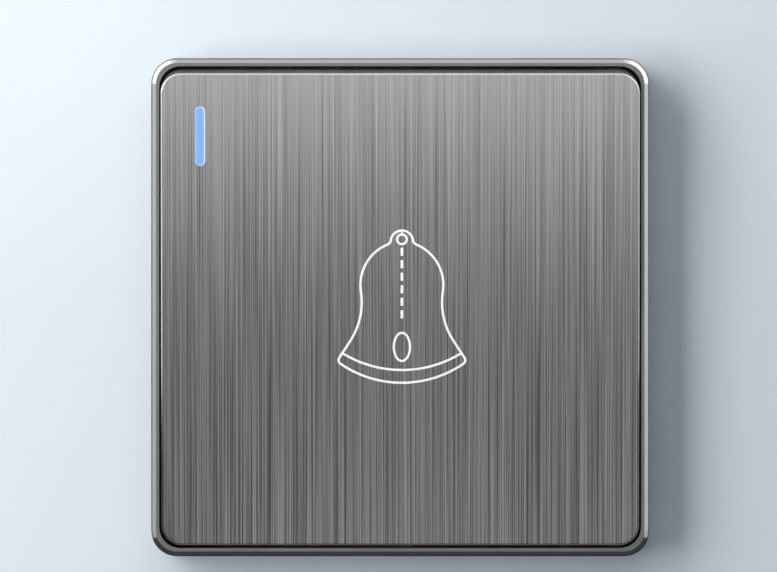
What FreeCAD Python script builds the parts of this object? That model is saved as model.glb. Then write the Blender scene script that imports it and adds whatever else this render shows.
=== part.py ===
import FreeCAD, Part
import math
import os

from FreeCAD import Vector

# Wall-mounted doorbell push for a square 86 mm wall box, at its real size in millimetres.
# X runs to the right of a person facing it, +Y runs into the wall, +Z is up.
# The wall surface is the plane Y = 0 and the origin is midway between the two box screws.
# The button rocks on trunnions behind its face. At rest a spring holds its top edge out.

# Trim frame
panel = 86.0
panel_corner = 4.4
frame_depth = 10.6
rim_bevel_width = 0.82
rim_bevel_depth = 0.6
rim_land = 0.54
opening_corner = 3.7
seat_rib_reach = 1.0
seat_rib_width = 1.4
seat_rib_length = 1.0
seat_rib_spread = 26.0
barb_reach = 0.9
barb_width = 6.0

# Button face and its moulded carrier
side_gap = 0.37
end_gap = 0.85
face_lead = 0.9
face_corner = 3.4
skin_thickness = 0.6
skin_bevel = 0.3
carrier_thickness = 1.8
skirt_depth = 3.1
skirt_wall = 1.3
skirt_flare = 0.65
stiffener_thickness = 1.0
stiffener_height = 1.3
stiffener_lines = (20.5, 30.5)

# Rocking motion
pivot_depth = 6.9
rest_tilt = 3.8
press_angle = 5.5
trunnion_radius = 1.5
trunnion_clearance = 0.05
trunnion_reach = 2.8
hub_radius = 1.7

# Indicator window
lens_width = 1.67
lens_length = 10.2
lens_side_inset = 6.77
lens_top_inset = 10.79
lens_gap = 0.04
lens_proud = 0.1
lens_flange = 1.1
lens_flange_thickness = 1.0

# Bell symbol, a paint-filled engraving
stroke = 0.4
engraving_depth = 0.12
symbol_x = 0.28
symbol_z = 0.5
loop_radius = 1.94
loop_z = 11.29
shoulder_radius = 7.6
shoulder_x = -0.44
shoulder_z = 3.8
shoulder_start_angle = 69.0
flare_x = 19.1
flare_z = 0.8
flare_end_angle = 33.0
lip_radius = 0.76
base_arc_radius = 18.76
symbol_bottom = -13.11
band_arc_radius = 19.5
band_bottom = -10.9
ring_radius = 0.83
ring_z = 11.7
tick_width = 0.3
dash_count = 6
dash_width = 0.46
dash_length = 1.42
dash_corner = 0.1
dash_pitch = 2.165
dash_top = 9.57
clapper_z = -6.9
clapper_half_width = 1.4
clapper_half_height = 2.43

# Steel mounting yoke
yoke_thickness = 1.0
yoke_gap = 0.34
yoke_corner = 3.0
box_screw_spacing = 60.3
box_slot_width = 4.2
box_slot_length = 8.0
window_width = 38.0
window_height = 36.0
window_corner = 2.0
ear_width = 11.0
ear_height = 2.6
ear_spread = 20.0
ear_relief = 0.8
ear_bend = 0.3
ear_window_clearance = 0.4
bead_width = 3.0
bead_height = 0.6
bead_length = 34.0
bead_inset = 4.5

# Switch module
module_width = 48.0
module_height = 46.0
module_corner = 2.0
housing_depth = 22.5
housing_wall = 2.0
housing_bevel = 1.2
cover_thickness = 1.6
cheek_thickness = 2.4
cheek_half_height = 4.4
cheek_lead = 2.6
cheek_gap = 0.8
spigot_wall = 1.2
spigot_gap = 0.15
cover_screw_inset = 2.5
cover_screw_radius = 1.45
cover_screw_length = 9.5
cover_screw_head_radius = 2.4
cover_screw_head_height = 1.5
screw_clearance = 0.08
boss_length = 14.0

# Rocker lever
lever_half_width = 14.8
lever_half_height = 17.0
lever_plate = 1.5
lever_web = 2.0
lever_web_half_height = 7.0
nose_radius = 1.5
nose_half_width = 5.0
nose_depth = 1.2
stop_gap = 0.07
hook_thickness = 1.2
hook_width = 5.0
hook_reach = 0.8
hook_z = 11.0

# Plunger, springs and contacts
plunger_z = 13.0
plunger_radius = 3.0
plunger_clearance = 0.05
nose_gap = 0.06
sleeve_wall = 1.75
sleeve_end = 2.2
flange_radius = 5.0
flange_thickness = 1.2
flange_gap = 0.1
cage_length = 5.9
cage_half_width = 3.0
cage_wall = 1.4
cage_base = 1.4
spigot_radius = 1.6
spigot_length = 1.5
spring_post_length = 3.0
bridge_length = 22.0
bridge_width = 6.0
bridge_thickness = 0.7
bridge_seat_gap = 0.1
contact_x = 9.0
rivet_radius = 1.8
rivet_height = 0.6
closed_gap = 0.07
contact_spring_radius = 2.3
contact_spring_wire = 0.4
contact_spring_turns = 3
return_spring_radius = 2.5
return_spring_wire = 0.45
return_spring_turns = 5
strip_thickness = 0.8
strip_inner_x = 9.4
strip_outer_x = 14.4
strip_pad_x = 6.6
strip_pad_half_height = 3.0
strip_corner = 0.6

# Wire terminals
terminal_x = 13.0
terminal_z = -9.0
terminal_width = 7.5
terminal_height = 9.0
terminal_length = 9.0
wire_bore_radius = 1.6
terminal_gap = 0.1
terminal_screw_radius = 1.5
terminal_screw_place = 2.9
terminal_screw_head_radius = 2.7
terminal_screw_head_height = 2.2
terminal_screw_lift = 0.4
access_width = 7.0
partition_z = 1.0
partition_thickness = 2.4
stake_radius = 0.8
stake_height = 0.9

# Indicator lamp behind the window
lamp_board_width = 7.0
lamp_board_length = 14.0
lamp_board_thickness = 0.8
lamp_board_lead = 3.6
led_width = 2.8
led_length = 3.5
led_height = 1.4
lamp_holder_base = 1.2
lamp_holder_wall = 1.1
lamp_pin_radius = 1.0
lamp_pin_spread = 9.0
lamp_pin_clearance = 0.02
resistor_radius = 0.9
resistor_length = 3.6
wire_diameter = 1.0

# Places that follow from the sizes above
frame_front = -frame_depth
rim_width = rim_bevel_width + rim_land
opening = panel - 2 * rim_width
face_width = opening - 2 * side_gap
face_length = opening - 2 * end_gap
face_y = frame_front - face_lead
skin_back = face_y + skin_thickness
carrier_back = skin_back + carrier_thickness
lens_x = -face_width / 2 + lens_side_inset
lens_z = face_length / 2 - lens_top_inset
skirt_rear = carrier_back + skirt_depth
pivot_y = face_y + pivot_depth
yoke_front = -yoke_thickness
cover_front = yoke_front - cover_thickness
lever_front = carrier_back
lever_back = lever_front + lever_plate
hook_x = lever_half_width
cheek_inner = lever_half_width + cheek_gap
cheek_outer = cheek_inner + cheek_thickness
cheek_front = pivot_y - cheek_lead
housing_floor = housing_depth - housing_wall
cover_screw_x = module_width / 2 - cover_screw_inset
cover_screw_z = module_height / 2 - cover_screw_inset

# The nose pushes the plunger and the foot stops the lever on the cover. Both follow from the tilt.
tilt_sine = math.sin(math.radians(rest_tilt))
tilt_cosine = math.cos(math.radians(rest_tilt))
pressed_sine = math.sin(math.radians(press_angle - rest_tilt))
nose_y = pivot_y - nose_depth
nose_rest_y = pivot_y - nose_depth * tilt_cosine - plunger_z * tilt_sine + nose_radius
plunger_travel = plunger_z * (tilt_sine + pressed_sine)
plunger_top = nose_rest_y + nose_gap
foot_y = cover_front - stop_gap - nose_radius - plunger_z * tilt_sine

# Stations along the plunger, from its flange back to the fixed contacts
flange_front = sleeve_end + flange_gap
cage_front = flange_front + flange_thickness
cage_back = cage_front + cage_length
plunger_back = cage_back + cage_base
bridge_back = cage_back - bridge_seat_gap
bridge_front = bridge_back - bridge_thickness
fixed_rivet_front = bridge_back + rivet_height + plunger_travel + closed_gap
strip_front = fixed_rivet_front + rivet_height
strip_back = strip_front + strip_thickness
terminal_back = strip_back + terminal_length
terminal_screw_y = strip_back + terminal_screw_place
lamp_board_front = yoke_front - lamp_board_lead
lamp_board_back = lamp_board_front + lamp_board_thickness


def block(x_range, y_range, z_range):
    """A box between the given limits on each axis."""
    low = Vector(min(x_range), min(y_range), min(z_range))
    high = Vector(max(x_range), max(y_range), max(z_range))
    size = high - low
    return Part.makeBox(size.x, size.y, size.z, low)


def rod(radius, start, end):
    """A round bar between two points."""
    start = Vector(*start)
    direction = Vector(*end) - start
    return Part.makeCylinder(radius, direction.Length, start, direction)


def outline(width, height, corner, y, x=0.0, z=0.0):
    """A rounded rectangle as a wire in a plane parallel to the wall."""
    left, right = x - width / 2, x + width / 2
    low, high = z - height / 2, z + height / 2
    near = corner * (1 - math.sqrt(0.5))
    edges = []
    corners = (
        ((right - corner, low), (right - near, low + near), (right, low + corner)),
        ((right, high - corner), (right - near, high - near), (right - corner, high)),
        ((left + corner, high), (left + near, high - near), (left, high - corner)),
        ((left, low + corner), (left + near, low + near), (left + corner, low)),
    )
    for index, points in enumerate(corners):
        arc_points = [Vector(px, y, pz) for px, pz in points]
        edges.append(Part.Arc(*arc_points).toShape())
        next_start = Vector(corners[(index + 1) % 4][0][0], y, corners[(index + 1) % 4][0][1])
        if arc_points[2].distanceToPoint(next_start) > 1e-6:
            edges.append(Part.LineSegment(arc_points[2], next_start).toShape())
    return Part.Wire(edges)


def plate(width, height, corner, y_range, x=0.0, z=0.0):
    """A rounded rectangular plate parallel to the wall."""
    front, back = min(y_range), max(y_range)
    face = Part.Face(outline(width, height, corner, front, x, z))
    return face.extrude(Vector(0, back - front, 0))


def stadium(length, width, y_range, x, z, upright=False):
    """A slot-shaped plate with round ends, lying along X or, if upright, along Z."""
    size = (width, length) if upright else (length, width)
    run = length - width
    front, back = min(y_range), max(y_range)
    if upright:
        ends = ((x, z - run / 2), (x, z + run / 2))
        middle = block((x - width / 2, x + width / 2), y_range, (z - run / 2, z + run / 2))
    else:
        ends = ((x - run / 2, z), (x + run / 2, z))
        middle = block((x - run / 2, x + run / 2), y_range, (z - width / 2, z + width / 2))
    caps = [rod(min(size) / 2, (px, front, pz), (px, back, pz)) for px, pz in ends]
    return middle.multiFuse(caps).removeSplitter()


def loft(*wires):
    """A solid with straight sides through the given wires."""
    return Part.makeLoft(list(wires), True, True)


def fuse(shape, *others):
    """Several shapes as one solid, with no seams between flush faces."""
    return shape.multiFuse(list(others)).removeSplitter()


def mirrored(shape):
    """The same shape on the other side of the centre line."""
    return shape.mirror(Vector(0, 0, 0), Vector(1, 0, 0))


def four_corners(x, z):
    """Places at the four corners of a rectangle about the origin."""
    return [(sx * x, sz * z) for sx in (-1, 1) for sz in (-1, 1)]


def tilted(shape):
    """A piece of the button, turned from level to its place at rest, with the top edge out."""
    turned = shape.copy()
    turned.rotate(Vector(0, pivot_y, 0), Vector(1, 0, 0), rest_tilt)
    return turned


def round_bar(edges, diameter):
    """A bent bar along lines and arcs that join smoothly: a ring carried along them, then capped."""
    first = edges[0].FirstParameter
    start, direction = edges[0].valueAt(first), edges[0].tangentAt(first)
    ring = Part.makeCircle(diameter / 2, start, direction)
    faces = [Part.Face(Part.Wire(ring))]
    for edge in edges:
        path = edge.Curve
        if path.TypeId == "Part::GeomCircle":
            turn = math.degrees(edge.Length / path.Radius)
            faces.append(ring.revolve(path.Center, path.Axis, turn))
            ring = ring.copy()
            ring.rotate(path.Center, path.Axis, turn)
        else:
            run = edge.tangentAt(edge.FirstParameter) * edge.Length
            faces.append(ring.extrude(run))
            ring = ring.copy()
            ring.translate(run)
    faces.append(Part.Face(Part.Wire(ring)))
    shell = Part.makeShell(faces)
    shell.sewShape()
    bar = Part.makeSolid(shell)
    if bar.Volume < 0:
        bar.reverse()
    return bar


def coil(radius, wire, turns, start_y, end_y, z):
    """A compression spring along Y that touches the faces it bears on. Each half turn is one arc."""
    first, last = start_y + wire / 2, end_y - wire / 2
    half_pitch = (last - first) / (2 * turns)
    edges = []
    for index in range(2 * turns):
        side = 1 if index % 2 == 0 else -1
        y = first + index * half_pitch
        arc_start = Vector(side * radius, y, z)
        middle = Vector(0, y + half_pitch / 2, z + side * radius)
        arc_end = Vector(-side * radius, y + half_pitch, z)
        edges.append(Part.Arc(arc_start, middle, arc_end).toShape())
    return round_bar(edges, wire)


def wire_run(points, diameter):
    """An insulated wire: straight runs through the points, joined by arcs that touch them."""
    points = [Vector(*p) for p in points]
    edges, last = [], points[0]
    for before, corner, after in zip(points, points[1:], points[2:]):
        into, out = corner - before, after - corner
        turn = into.getAngle(out)
        reach = 0.45 * min(into.Length, out.Length)
        into.normalize()
        out.normalize()
        inward = out - into
        inward.normalize()
        radius = reach / math.tan(turn / 2)
        centre = corner + inward * (radius / math.cos(turn / 2))
        arc_start, arc_end = corner - into * reach, corner + out * reach
        edges.append(Part.LineSegment(last, arc_start).toShape())
        edges.append(Part.Arc(arc_start, centre - inward * radius, arc_end).toShape())
        last = arc_end
    edges.append(Part.LineSegment(last, points[-1]).toShape())
    return round_bar(edges, diameter)


def trim_frame():
    """The outer frame: bevelled rim, plain inner wall, seating ribs and snap barbs for the yoke."""
    rim_back = frame_front + rim_bevel_depth
    rim_corner = panel_corner - rim_bevel_width
    inner_width = panel - 2 * rim_bevel_width
    body = plate(panel, panel, panel_corner, (rim_back, 0))
    rim = loft(
        outline(panel, panel, panel_corner, rim_back),
        outline(inner_width, inner_width, rim_corner, frame_front),
    )
    frame = fuse(body, rim).cut(plate(opening, opening, opening_corner, (frame_front - 1, 1)))
    additions = []
    wall = opening / 2
    rib_y = (yoke_front - seat_rib_length, yoke_front)
    reach = (wall - seat_rib_reach, wall + rim_width / 2)
    for side in (-1, 1):
        for place in (-seat_rib_spread, seat_rib_spread):
            span = (place - seat_rib_width / 2, place + seat_rib_width / 2)
            across = (side * reach[0], side * reach[1])
            additions.append(block(across, rib_y, span))
            additions.append(block(span, rib_y, across))
    tip_x = wall - barb_reach
    catch_y = ear_window_front() + ear_window_clearance / 2
    toe_y = yoke_front - ear_window_clearance
    profile = [
        Vector(wall + rim_width / 2, catch_y, 0),
        Vector(tip_x, catch_y, 0),
        Vector(tip_x, catch_y + barb_reach / 3, 0),
        Vector(wall, toe_y, 0),
        Vector(wall + rim_width / 2, toe_y, 0),
    ]
    barb = Part.Face(Part.makePolygon(profile + profile[:1])).extrude(Vector(0, 0, barb_width))
    for place in (-ear_spread / 2, ear_spread / 2):
        right = barb.translated(Vector(0, 0, place - barb_width / 2))
        additions += [right, mirrored(right)]
    return fuse(frame, *additions)


def ear_window_front():
    """How far forward the window in a yoke ear reaches."""
    return yoke_front - ear_height + ear_relief


def mounting_yoke():
    """The stamped steel plate: slots for the box screws, module window, stiffening beads and snap ears."""
    half = opening / 2 - yoke_gap
    sheet_y = (yoke_front, 0)
    cut_y = (yoke_front - 1, 1)
    yoke = plate(2 * half, 2 * half, yoke_corner, sheet_y)
    bead_place = half - bead_inset
    for side in (-1, 1):
        pressed = (yoke_front - bead_height, yoke_front)
        hollow = (-bead_height, 1)
        inner_length = bead_length - bead_height
        inner_width = bead_width - 2 * bead_height
        for x, z, upright in ((side * bead_place, 0, True), (0, side * bead_place, False)):
            yoke = yoke.fuse(stadium(bead_length, bead_width, pressed, x, z, upright))
            yoke = yoke.cut(stadium(inner_length, inner_width, hollow, x, z, upright))
    cuts = [plate(window_width, window_height, window_corner, cut_y)]
    for side in (-1, 1):
        place = side * box_screw_spacing / 2
        cuts.append(stadium(box_slot_length, box_slot_width, cut_y, place, 0))
        cuts.append(stadium(box_slot_length, box_slot_width, cut_y, 0, place, True))
    for x, z in four_corners(cover_screw_x, cover_screw_z):
        cuts.append(rod(cover_screw_radius + screw_clearance, (x, cut_y[0], z), (x, cut_y[1], z)))
    for z in lamp_pin_places():
        radius = lamp_pin_radius + lamp_pin_clearance
        cuts.append(rod(radius, (lens_x, cut_y[0], z), (lens_x, cut_y[1], z)))
    bend_outer = ear_bend + yoke_thickness
    ear_root = half - bend_outer - ear_relief
    for z in (-ear_spread / 2, ear_spread / 2):
        span = (z - ear_width / 2 - ear_relief, z + ear_width / 2 + ear_relief)
        for side in (-1, 1):
            cuts.append(block((side * ear_root, side * (half + 1)), cut_y, span))
    yoke = yoke.cut(Part.makeCompound(cuts))
    ears = []
    for z in (-ear_spread / 2, ear_spread / 2):
        right = yoke_ear(half, ear_root).translated(Vector(0, 0, z))
        ears += [right, mirrored(right)]
    return fuse(yoke, *ears)


def yoke_ear(half, root):
    """One ear, folded forward from the right edge of the sheet, with the window for a barb."""
    outer, inner = ear_bend + yoke_thickness, ear_bend
    corner_x = half - outer
    tip = yoke_front - ear_height
    slant = math.sqrt(0.5)
    base = Vector(0, 0, -ear_width / 2)
    points = {
        "root_back": Vector(root, 0, 0),
        "bend_back": Vector(corner_x, 0, 0),
        "bend_back_middle": Vector(corner_x + outer * slant, -outer + outer * slant, 0),
        "bend_side": Vector(half, -outer, 0),
        "tip_outer": Vector(half, tip, 0),
        "tip_inner": Vector(half - yoke_thickness, tip, 0),
        "fold_side": Vector(half - yoke_thickness, -outer, 0),
        "fold_middle": Vector(corner_x + inner * slant, -outer + inner * slant, 0),
        "fold_front": Vector(corner_x, yoke_front, 0),
        "root_front": Vector(root, yoke_front, 0),
    }
    p = {name: point + base for name, point in points.items()}
    edges = [
        Part.LineSegment(p["root_back"], p["bend_back"]).toShape(),
        Part.Arc(p["bend_back"], p["bend_back_middle"], p["bend_side"]).toShape(),
        Part.LineSegment(p["bend_side"], p["tip_outer"]).toShape(),
        Part.LineSegment(p["tip_outer"], p["tip_inner"]).toShape(),
        Part.LineSegment(p["tip_inner"], p["fold_side"]).toShape(),
        Part.Arc(p["fold_side"], p["fold_middle"], p["fold_front"]).toShape(),
        Part.LineSegment(p["fold_front"], p["root_front"]).toShape(),
        Part.LineSegment(p["root_front"], p["root_back"]).toShape(),
    ]
    ear = Part.Face(Part.Wire(edges)).extrude(Vector(0, 0, ear_width))
    gap = (barb_width + ear_window_clearance) / 2
    window_y = (ear_window_front(), yoke_front)
    return ear.cut(block((half - yoke_thickness - 0.1, half + 1), window_y, (-gap, gap)))


def lamp_pin_places():
    """Heights of the two pins that fix the lamp holder to the yoke."""
    return (lens_z - lamp_pin_spread / 2, lens_z + lamp_pin_spread / 2)


def module_housing():
    """The moulded rear box of the switch, with its screw bosses, contact seats and terminal pockets."""
    bevel_y = housing_depth - housing_bevel
    small = 2 * housing_bevel
    body = plate(module_width, module_height, module_corner, (0, bevel_y))
    tail = loft(
        outline(module_width, module_height, module_corner, bevel_y),
        outline(module_width - small, module_height - small, module_corner, housing_depth),
    )
    inner_x = module_width / 2 - housing_wall
    inner_z = module_height / 2 - housing_wall
    cavity = block((-inner_x, inner_x), (-1, housing_floor), (-inner_z, inner_z))
    housing = fuse(body, tail).cut(cavity)
    deep = housing_floor + housing_wall / 2
    extras = [
        rod(spigot_radius, (0, housing_floor - spring_post_length, plunger_z), (0, deep, plunger_z)),
        block(
            (-inner_x - housing_wall / 2, inner_x + housing_wall / 2),
            (strip_back, deep),
            (partition_z, partition_z + partition_thickness),
        ),
    ]
    for x, z in four_corners(cover_screw_x, cover_screw_z):
        toward = (math.copysign(cover_screw_inset, x), math.copysign(cover_screw_inset, z))
        edge_x, edge_z = x + toward[0] / 2, z + toward[1] / 2
        extras.append(rod(cover_screw_inset, (x, 0, z), (x, boss_length, z)))
        extras.append(block((x, edge_x), (0, boss_length), (z - toward[1], edge_z)))
        extras.append(block((x - toward[0], edge_x), (0, boss_length), (z, edge_z)))
    for side in (-1, 1):
        seat_z = (plunger_z - strip_pad_half_height, plunger_z + strip_pad_half_height)
        seat_x = (side * strip_pad_x, side * strip_outer_x)
        extras.append(block(seat_x, (strip_back, deep), seat_z))
        stake_x = side * (strip_inner_x + strip_outer_x) / 2
        stake_z = partition_z + partition_thickness / 2
        stake_y = (strip_front - stake_height, strip_back + 1)
        extras.append(rod(stake_radius, (stake_x, stake_y[0], stake_z), (stake_x, stake_y[1], stake_z)))
        for edge in (-1, 1):
            guide = side * terminal_x + edge * (terminal_width / 2 + terminal_gap)
            span = (guide, guide + edge * housing_wall / 2)
            z_span = (terminal_z - terminal_height / 2, terminal_z + terminal_height / 2)
            extras.append(block(span, (strip_back + terminal_gap, deep), z_span))
    housing = fuse(housing, *extras)
    cuts = []
    for x, z in four_corners(cover_screw_x, cover_screw_z):
        hole = cover_screw_radius + screw_clearance
        end = cover_screw_length - cover_thickness - yoke_thickness + 1
        cuts.append(rod(hole, (x, -1, z), (x, end, z)))
    for side in (-1, 1):
        x = side * terminal_x
        half_x = terminal_width / 2 + terminal_gap
        half_z = terminal_height / 2 + terminal_gap
        window_y = (strip_back + terminal_gap, housing_depth + 1)
        window_z = (terminal_z - half_z, terminal_z + half_z)
        cuts.append(block((x - half_x, x + half_x), window_y, window_z))
        access_y = (terminal_screw_y - access_width / 2, terminal_screw_y + access_width / 2)
        access_z = (-module_height / 2 - 1, -inner_z + 0.1)
        access_x = (x - access_width / 2, x + access_width / 2)
        cuts.append(block(access_x, access_y, access_z))
    return housing.cut(Part.makeCompound(cuts)).removeSplitter()


def module_cover():
    """The moulded front of the switch: plunger guide, snap-in bearings for the lever, wire notch."""
    cover_y = (cover_front, yoke_front)
    body = plate(module_width, module_height, module_corner, cover_y)
    rim_width_x = window_width - 2 * spigot_gap
    rim_width_z = window_height - 2 * spigot_gap
    rim_y = (yoke_front - 0.2, 0)
    rim = plate(rim_width_x, rim_width_z, window_corner, rim_y).cut(
        plate(
            rim_width_x - 2 * spigot_wall,
            rim_width_z - 2 * spigot_wall,
            window_corner - spigot_wall / 2,
            (yoke_front, 1),
        )
    )
    sleeve = rod(plunger_radius + sleeve_wall, (0, cover_front, plunger_z), (0, sleeve_end, plunger_z))
    cover = fuse(body, rim, sleeve, *bearing_cheeks())
    bore = plunger_radius + plunger_clearance
    cuts = [rod(bore, (0, cover_front - 1, plunger_z), (0, sleeve_end + 1, plunger_z))]
    for x, z in four_corners(cover_screw_x, cover_screw_z):
        hole = cover_screw_radius + screw_clearance
        cuts.append(rod(hole, (x, cover_front - 1, z), (x, 1, z)))
    notch_z = (wire_entry_z - 1.6 * wire_diameter, wire_entry_z + 1.6 * wire_diameter)
    notch_x = (-module_width / 2 - 1, -window_width / 2 + 2 * spigot_wall)
    cuts.append(block(notch_x, (cover_front - 1, 1), notch_z))
    return cover.cut(Part.makeCompound(cuts)).removeSplitter()


def bearing_cheeks():
    """Two upright cheeks with a round seat for each trunnion, open at the front by a narrower mouth."""
    seat = trunnion_radius + trunnion_clearance
    mouth = trunnion_radius * 0.84
    x_range = (cheek_inner, cheek_outer)
    crown = cheek_half_height * 0.45
    cheek_y = (cheek_front, cover_front + cover_thickness / 2)
    cheek = block(x_range, cheek_y, (-cheek_half_height, cheek_half_height))
    edges = [
        e
        for e in cheek.Edges
        if all(abs(v.Y - cheek_front) < 1e-6 for v in e.Vertexes)
        and abs(e.Vertexes[0].X - e.Vertexes[1].X) > 1
    ]
    cheek = cheek.makeFillet(crown, edges)
    across = (cheek_inner - 1, cheek_outer + 1)
    cheek = cheek.cut(rod(seat, (across[0], pivot_y, 0), (across[1], pivot_y, 0)))
    cheek = cheek.cut(block(across, (cheek_front - 1, pivot_y), (-mouth, mouth)))
    gusset_z = cheek_half_height / 2
    gusset = [
        Vector(cheek_outer - 0.2, cover_front + 0.2, 0),
        Vector(cheek_outer + cheek_thickness, cover_front + 0.2, 0),
        Vector(cheek_outer + cheek_thickness, cover_front, 0),
        Vector(cheek_outer, pivot_y - trunnion_radius, 0),
        Vector(cheek_outer - 0.2, pivot_y - trunnion_radius, 0),
    ]
    rib = Part.Face(Part.makePolygon(gusset + gusset[:1])).extrude(Vector(0, 0, stiffener_thickness))
    ribs = [
        rib.translated(Vector(0, 0, z - stiffener_thickness / 2))
        for z in (-gusset_z - seat / 2, gusset_z + seat / 2)
    ]
    cheek = fuse(cheek, *ribs)
    return [cheek, mirrored(cheek)]


def cover_screws():
    """Four pan-head screws that clamp the cover, yoke and housing together."""
    screws = []
    for x, z in four_corners(cover_screw_x, cover_screw_z):
        shank_end = cover_front + cover_screw_length
        head_front = cover_front - cover_screw_head_height
        shank = rod(cover_screw_radius, (x, cover_front - 0.1, z), (x, shank_end - 1, z))
        tip = Part.makeCone(
            cover_screw_radius, cover_screw_radius / 4, 1, Vector(x, shank_end - 1, z), Vector(0, 1, 0)
        )
        head = rod(cover_screw_head_radius, (x, head_front, z), (x, cover_front, z))
        rim = [e for e in head.Edges if len(e.Vertexes) == 1 and abs(e.Vertexes[0].Y - head_front) < 1e-6]
        head = head.makeChamfer(cover_screw_head_height / 3, rim)
        screws.append(fuse(head, shank, tip).cut(cross_recess(x, head_front, z, cover_screw_head_radius)))
    return Part.makeCompound(screws)


def cross_recess(x, front, z, radius):
    """The driver recess of a screw whose head faces the front."""
    arm, width, depth = radius * 0.6, radius * 0.22, radius * 0.4
    level = block((x - arm, x + arm), (front - 1, front + depth), (z - width / 2, z + width / 2))
    upright = block((x - width / 2, x + width / 2), (front - 1, front + depth), (z - arm, z + arm))
    return level.fuse(upright)


def skirt_length(y):
    """Height of the carrier's outside at a depth: it flares towards the rear, above and below."""
    return face_length + 2 * skirt_flare * (y - skin_back) / (skirt_rear - skin_back)


def button_carrier():
    """The moulded button behind the metal face: flared skirt, stiffening ribs and hooks for the lever."""
    shell = loft(
        outline(face_width, face_length, face_corner, skin_back),
        outline(face_width, skirt_length(skirt_rear), face_corner, skirt_rear),
    )
    inner_width = face_width - 2 * skirt_wall
    inner_corner = face_corner - skirt_wall
    beyond = skirt_rear + 0.5
    hollow = loft(
        outline(inner_width, skirt_length(carrier_back) - 2 * skirt_wall, inner_corner, carrier_back),
        outline(inner_width, skirt_length(beyond) - 2 * skirt_wall, inner_corner, beyond),
    )
    shell = shell.cut(hollow)
    ribs = []
    rib_y = (carrier_back - carrier_thickness / 2, carrier_back + stiffener_height)
    half_x = (face_width - skirt_wall) / 2
    half_z = (face_length - skirt_wall) / 2
    for line in stiffener_lines:
        for place in (-line, line):
            span = (place - stiffener_thickness / 2, place + stiffener_thickness / 2)
            ribs.append(block(span, rib_y, (-half_z, half_z)))
            ribs.append(block((-half_x, half_x), rib_y, span))
    carrier = fuse(shell, *ribs, *carrier_hooks())
    pocket_x, pocket_z = lens_width + 2 * lens_flange, lens_length + 2 * lens_flange
    cuts = [
        stadium(lens_length + 2 * lens_gap, lens_width + 2 * lens_gap, (face_y, carrier_back + 1), lens_x, lens_z, True),
        stadium(
            pocket_z + 2 * lens_gap, pocket_x + 2 * lens_gap, (carrier_back, skirt_rear), lens_x, lens_z, True
        ),
    ]
    return tilted(carrier.cut(Part.makeCompound(cuts)).removeSplitter())


def carrier_hooks():
    """Four snap hooks that grip the side edges of the lever's plate from behind."""
    catch_y = lever_back
    tip_y = catch_y + hook_thickness
    profile = [
        Vector(hook_x, carrier_back - carrier_thickness / 2, 0),
        Vector(hook_x, catch_y, 0),
        Vector(hook_x - hook_reach, catch_y, 0),
        Vector(hook_x, tip_y, 0),
        Vector(hook_x + hook_thickness / 2, tip_y, 0),
        Vector(hook_x + hook_thickness, catch_y, 0),
        Vector(hook_x + hook_thickness, carrier_back - carrier_thickness / 2, 0),
    ]
    hook = Part.Face(Part.makePolygon(profile + profile[:1])).extrude(Vector(0, 0, hook_width))
    hooks = []
    for place in (-hook_z, hook_z):
        right = hook.translated(Vector(0, 0, place - hook_width / 2))
        hooks += [right, mirrored(right)]
    return hooks


def level_skin():
    """The metal face before it is tilted: a thin plate with a bright bevelled edge."""
    bevel_back = face_y + skin_bevel
    small = 2 * skin_bevel
    rear = plate(face_width, face_length, face_corner, (bevel_back, skin_back))
    front = loft(
        outline(face_width, face_length, face_corner, bevel_back),
        outline(face_width - small, face_length - small, face_corner - skin_bevel, face_y),
    )
    return fuse(rear, front)


def button_skin():
    """The brushed metal face, with the indicator slot and the engraving of the bell."""
    slot = stadium(
        lens_length + 2 * lens_gap, lens_width + 2 * lens_gap, (face_y - 1, skin_back + 1), lens_x, lens_z, True
    )
    return tilted(level_skin().cut(slot).cut(level_symbol()))


def indicator_lens():
    """The translucent window: a slim bar with round ends on a flange glued behind the carrier."""
    front = face_y - lens_proud
    bar = stadium(lens_length, lens_width, (front, carrier_back), lens_x, lens_z, True)
    rim = [e for e in bar.Edges if all(abs(v.Y - front) < 1e-6 for v in e.Vertexes)]
    bar = bar.makeChamfer(lens_proud * 0.9, rim)
    flange_back = carrier_back + lens_flange_thickness
    flange_size = (lens_length + 2 * lens_flange, lens_width + 2 * lens_flange)
    flange = stadium(flange_size[0], flange_size[1], (carrier_back, flange_back), lens_x, lens_z, True)
    return tilted(fuse(bar, flange))


def level_symbol():
    """The bell before it is tilted: strokes of paint, flush with the metal face."""
    depth = (face_y, face_y + engraving_depth)
    inward = Vector(0, engraving_depth, 0)
    centre_line = bell_contour(face_y)
    outer = Part.Face(centre_line.makeOffset2D(stroke / 2)).extrude(inward)
    inner = Part.Face(centre_line.makeOffset2D(-stroke / 2)).extrude(inward)
    contour = outer.cut(inner)
    lower_half = block((-panel, panel), depth, (symbol_bottom, 0))
    band = tube_ring(band_arc_radius, 0, band_bottom + band_arc_radius, depth)
    band = band.common(outer).common(lower_half)
    ring = tube_ring(ring_radius, 0, ring_z, depth)
    tick = block((-tick_width / 2, tick_width / 2), depth, (ring_z + ring_radius, loop_z + loop_radius))
    outline_strokes = fuse(contour, band, ring, tick)
    pieces = [outline_strokes]
    for index in range(dash_count):
        dash_z = dash_top - index * dash_pitch
        pieces.append(plate(dash_width, dash_length, dash_corner, depth, 0, dash_z))
    pieces.append(clapper(depth))
    symbol = Part.makeCompound(pieces)
    symbol.translate(Vector(symbol_x, 0, symbol_z))
    return symbol


def on_circle(centre, radius, angle):
    """A point on a circle in a plane parallel to the wall, at an angle in degrees."""
    turn = math.radians(angle)
    return centre + Vector(radius * math.cos(turn), 0, radius * math.sin(turn))


def bearing_of(centre, point):
    """The angle in degrees, from 0 to 360, at which a point is seen from a centre."""
    return math.degrees(math.atan2(point.z - centre.z, point.x - centre.x)) % 360


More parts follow.
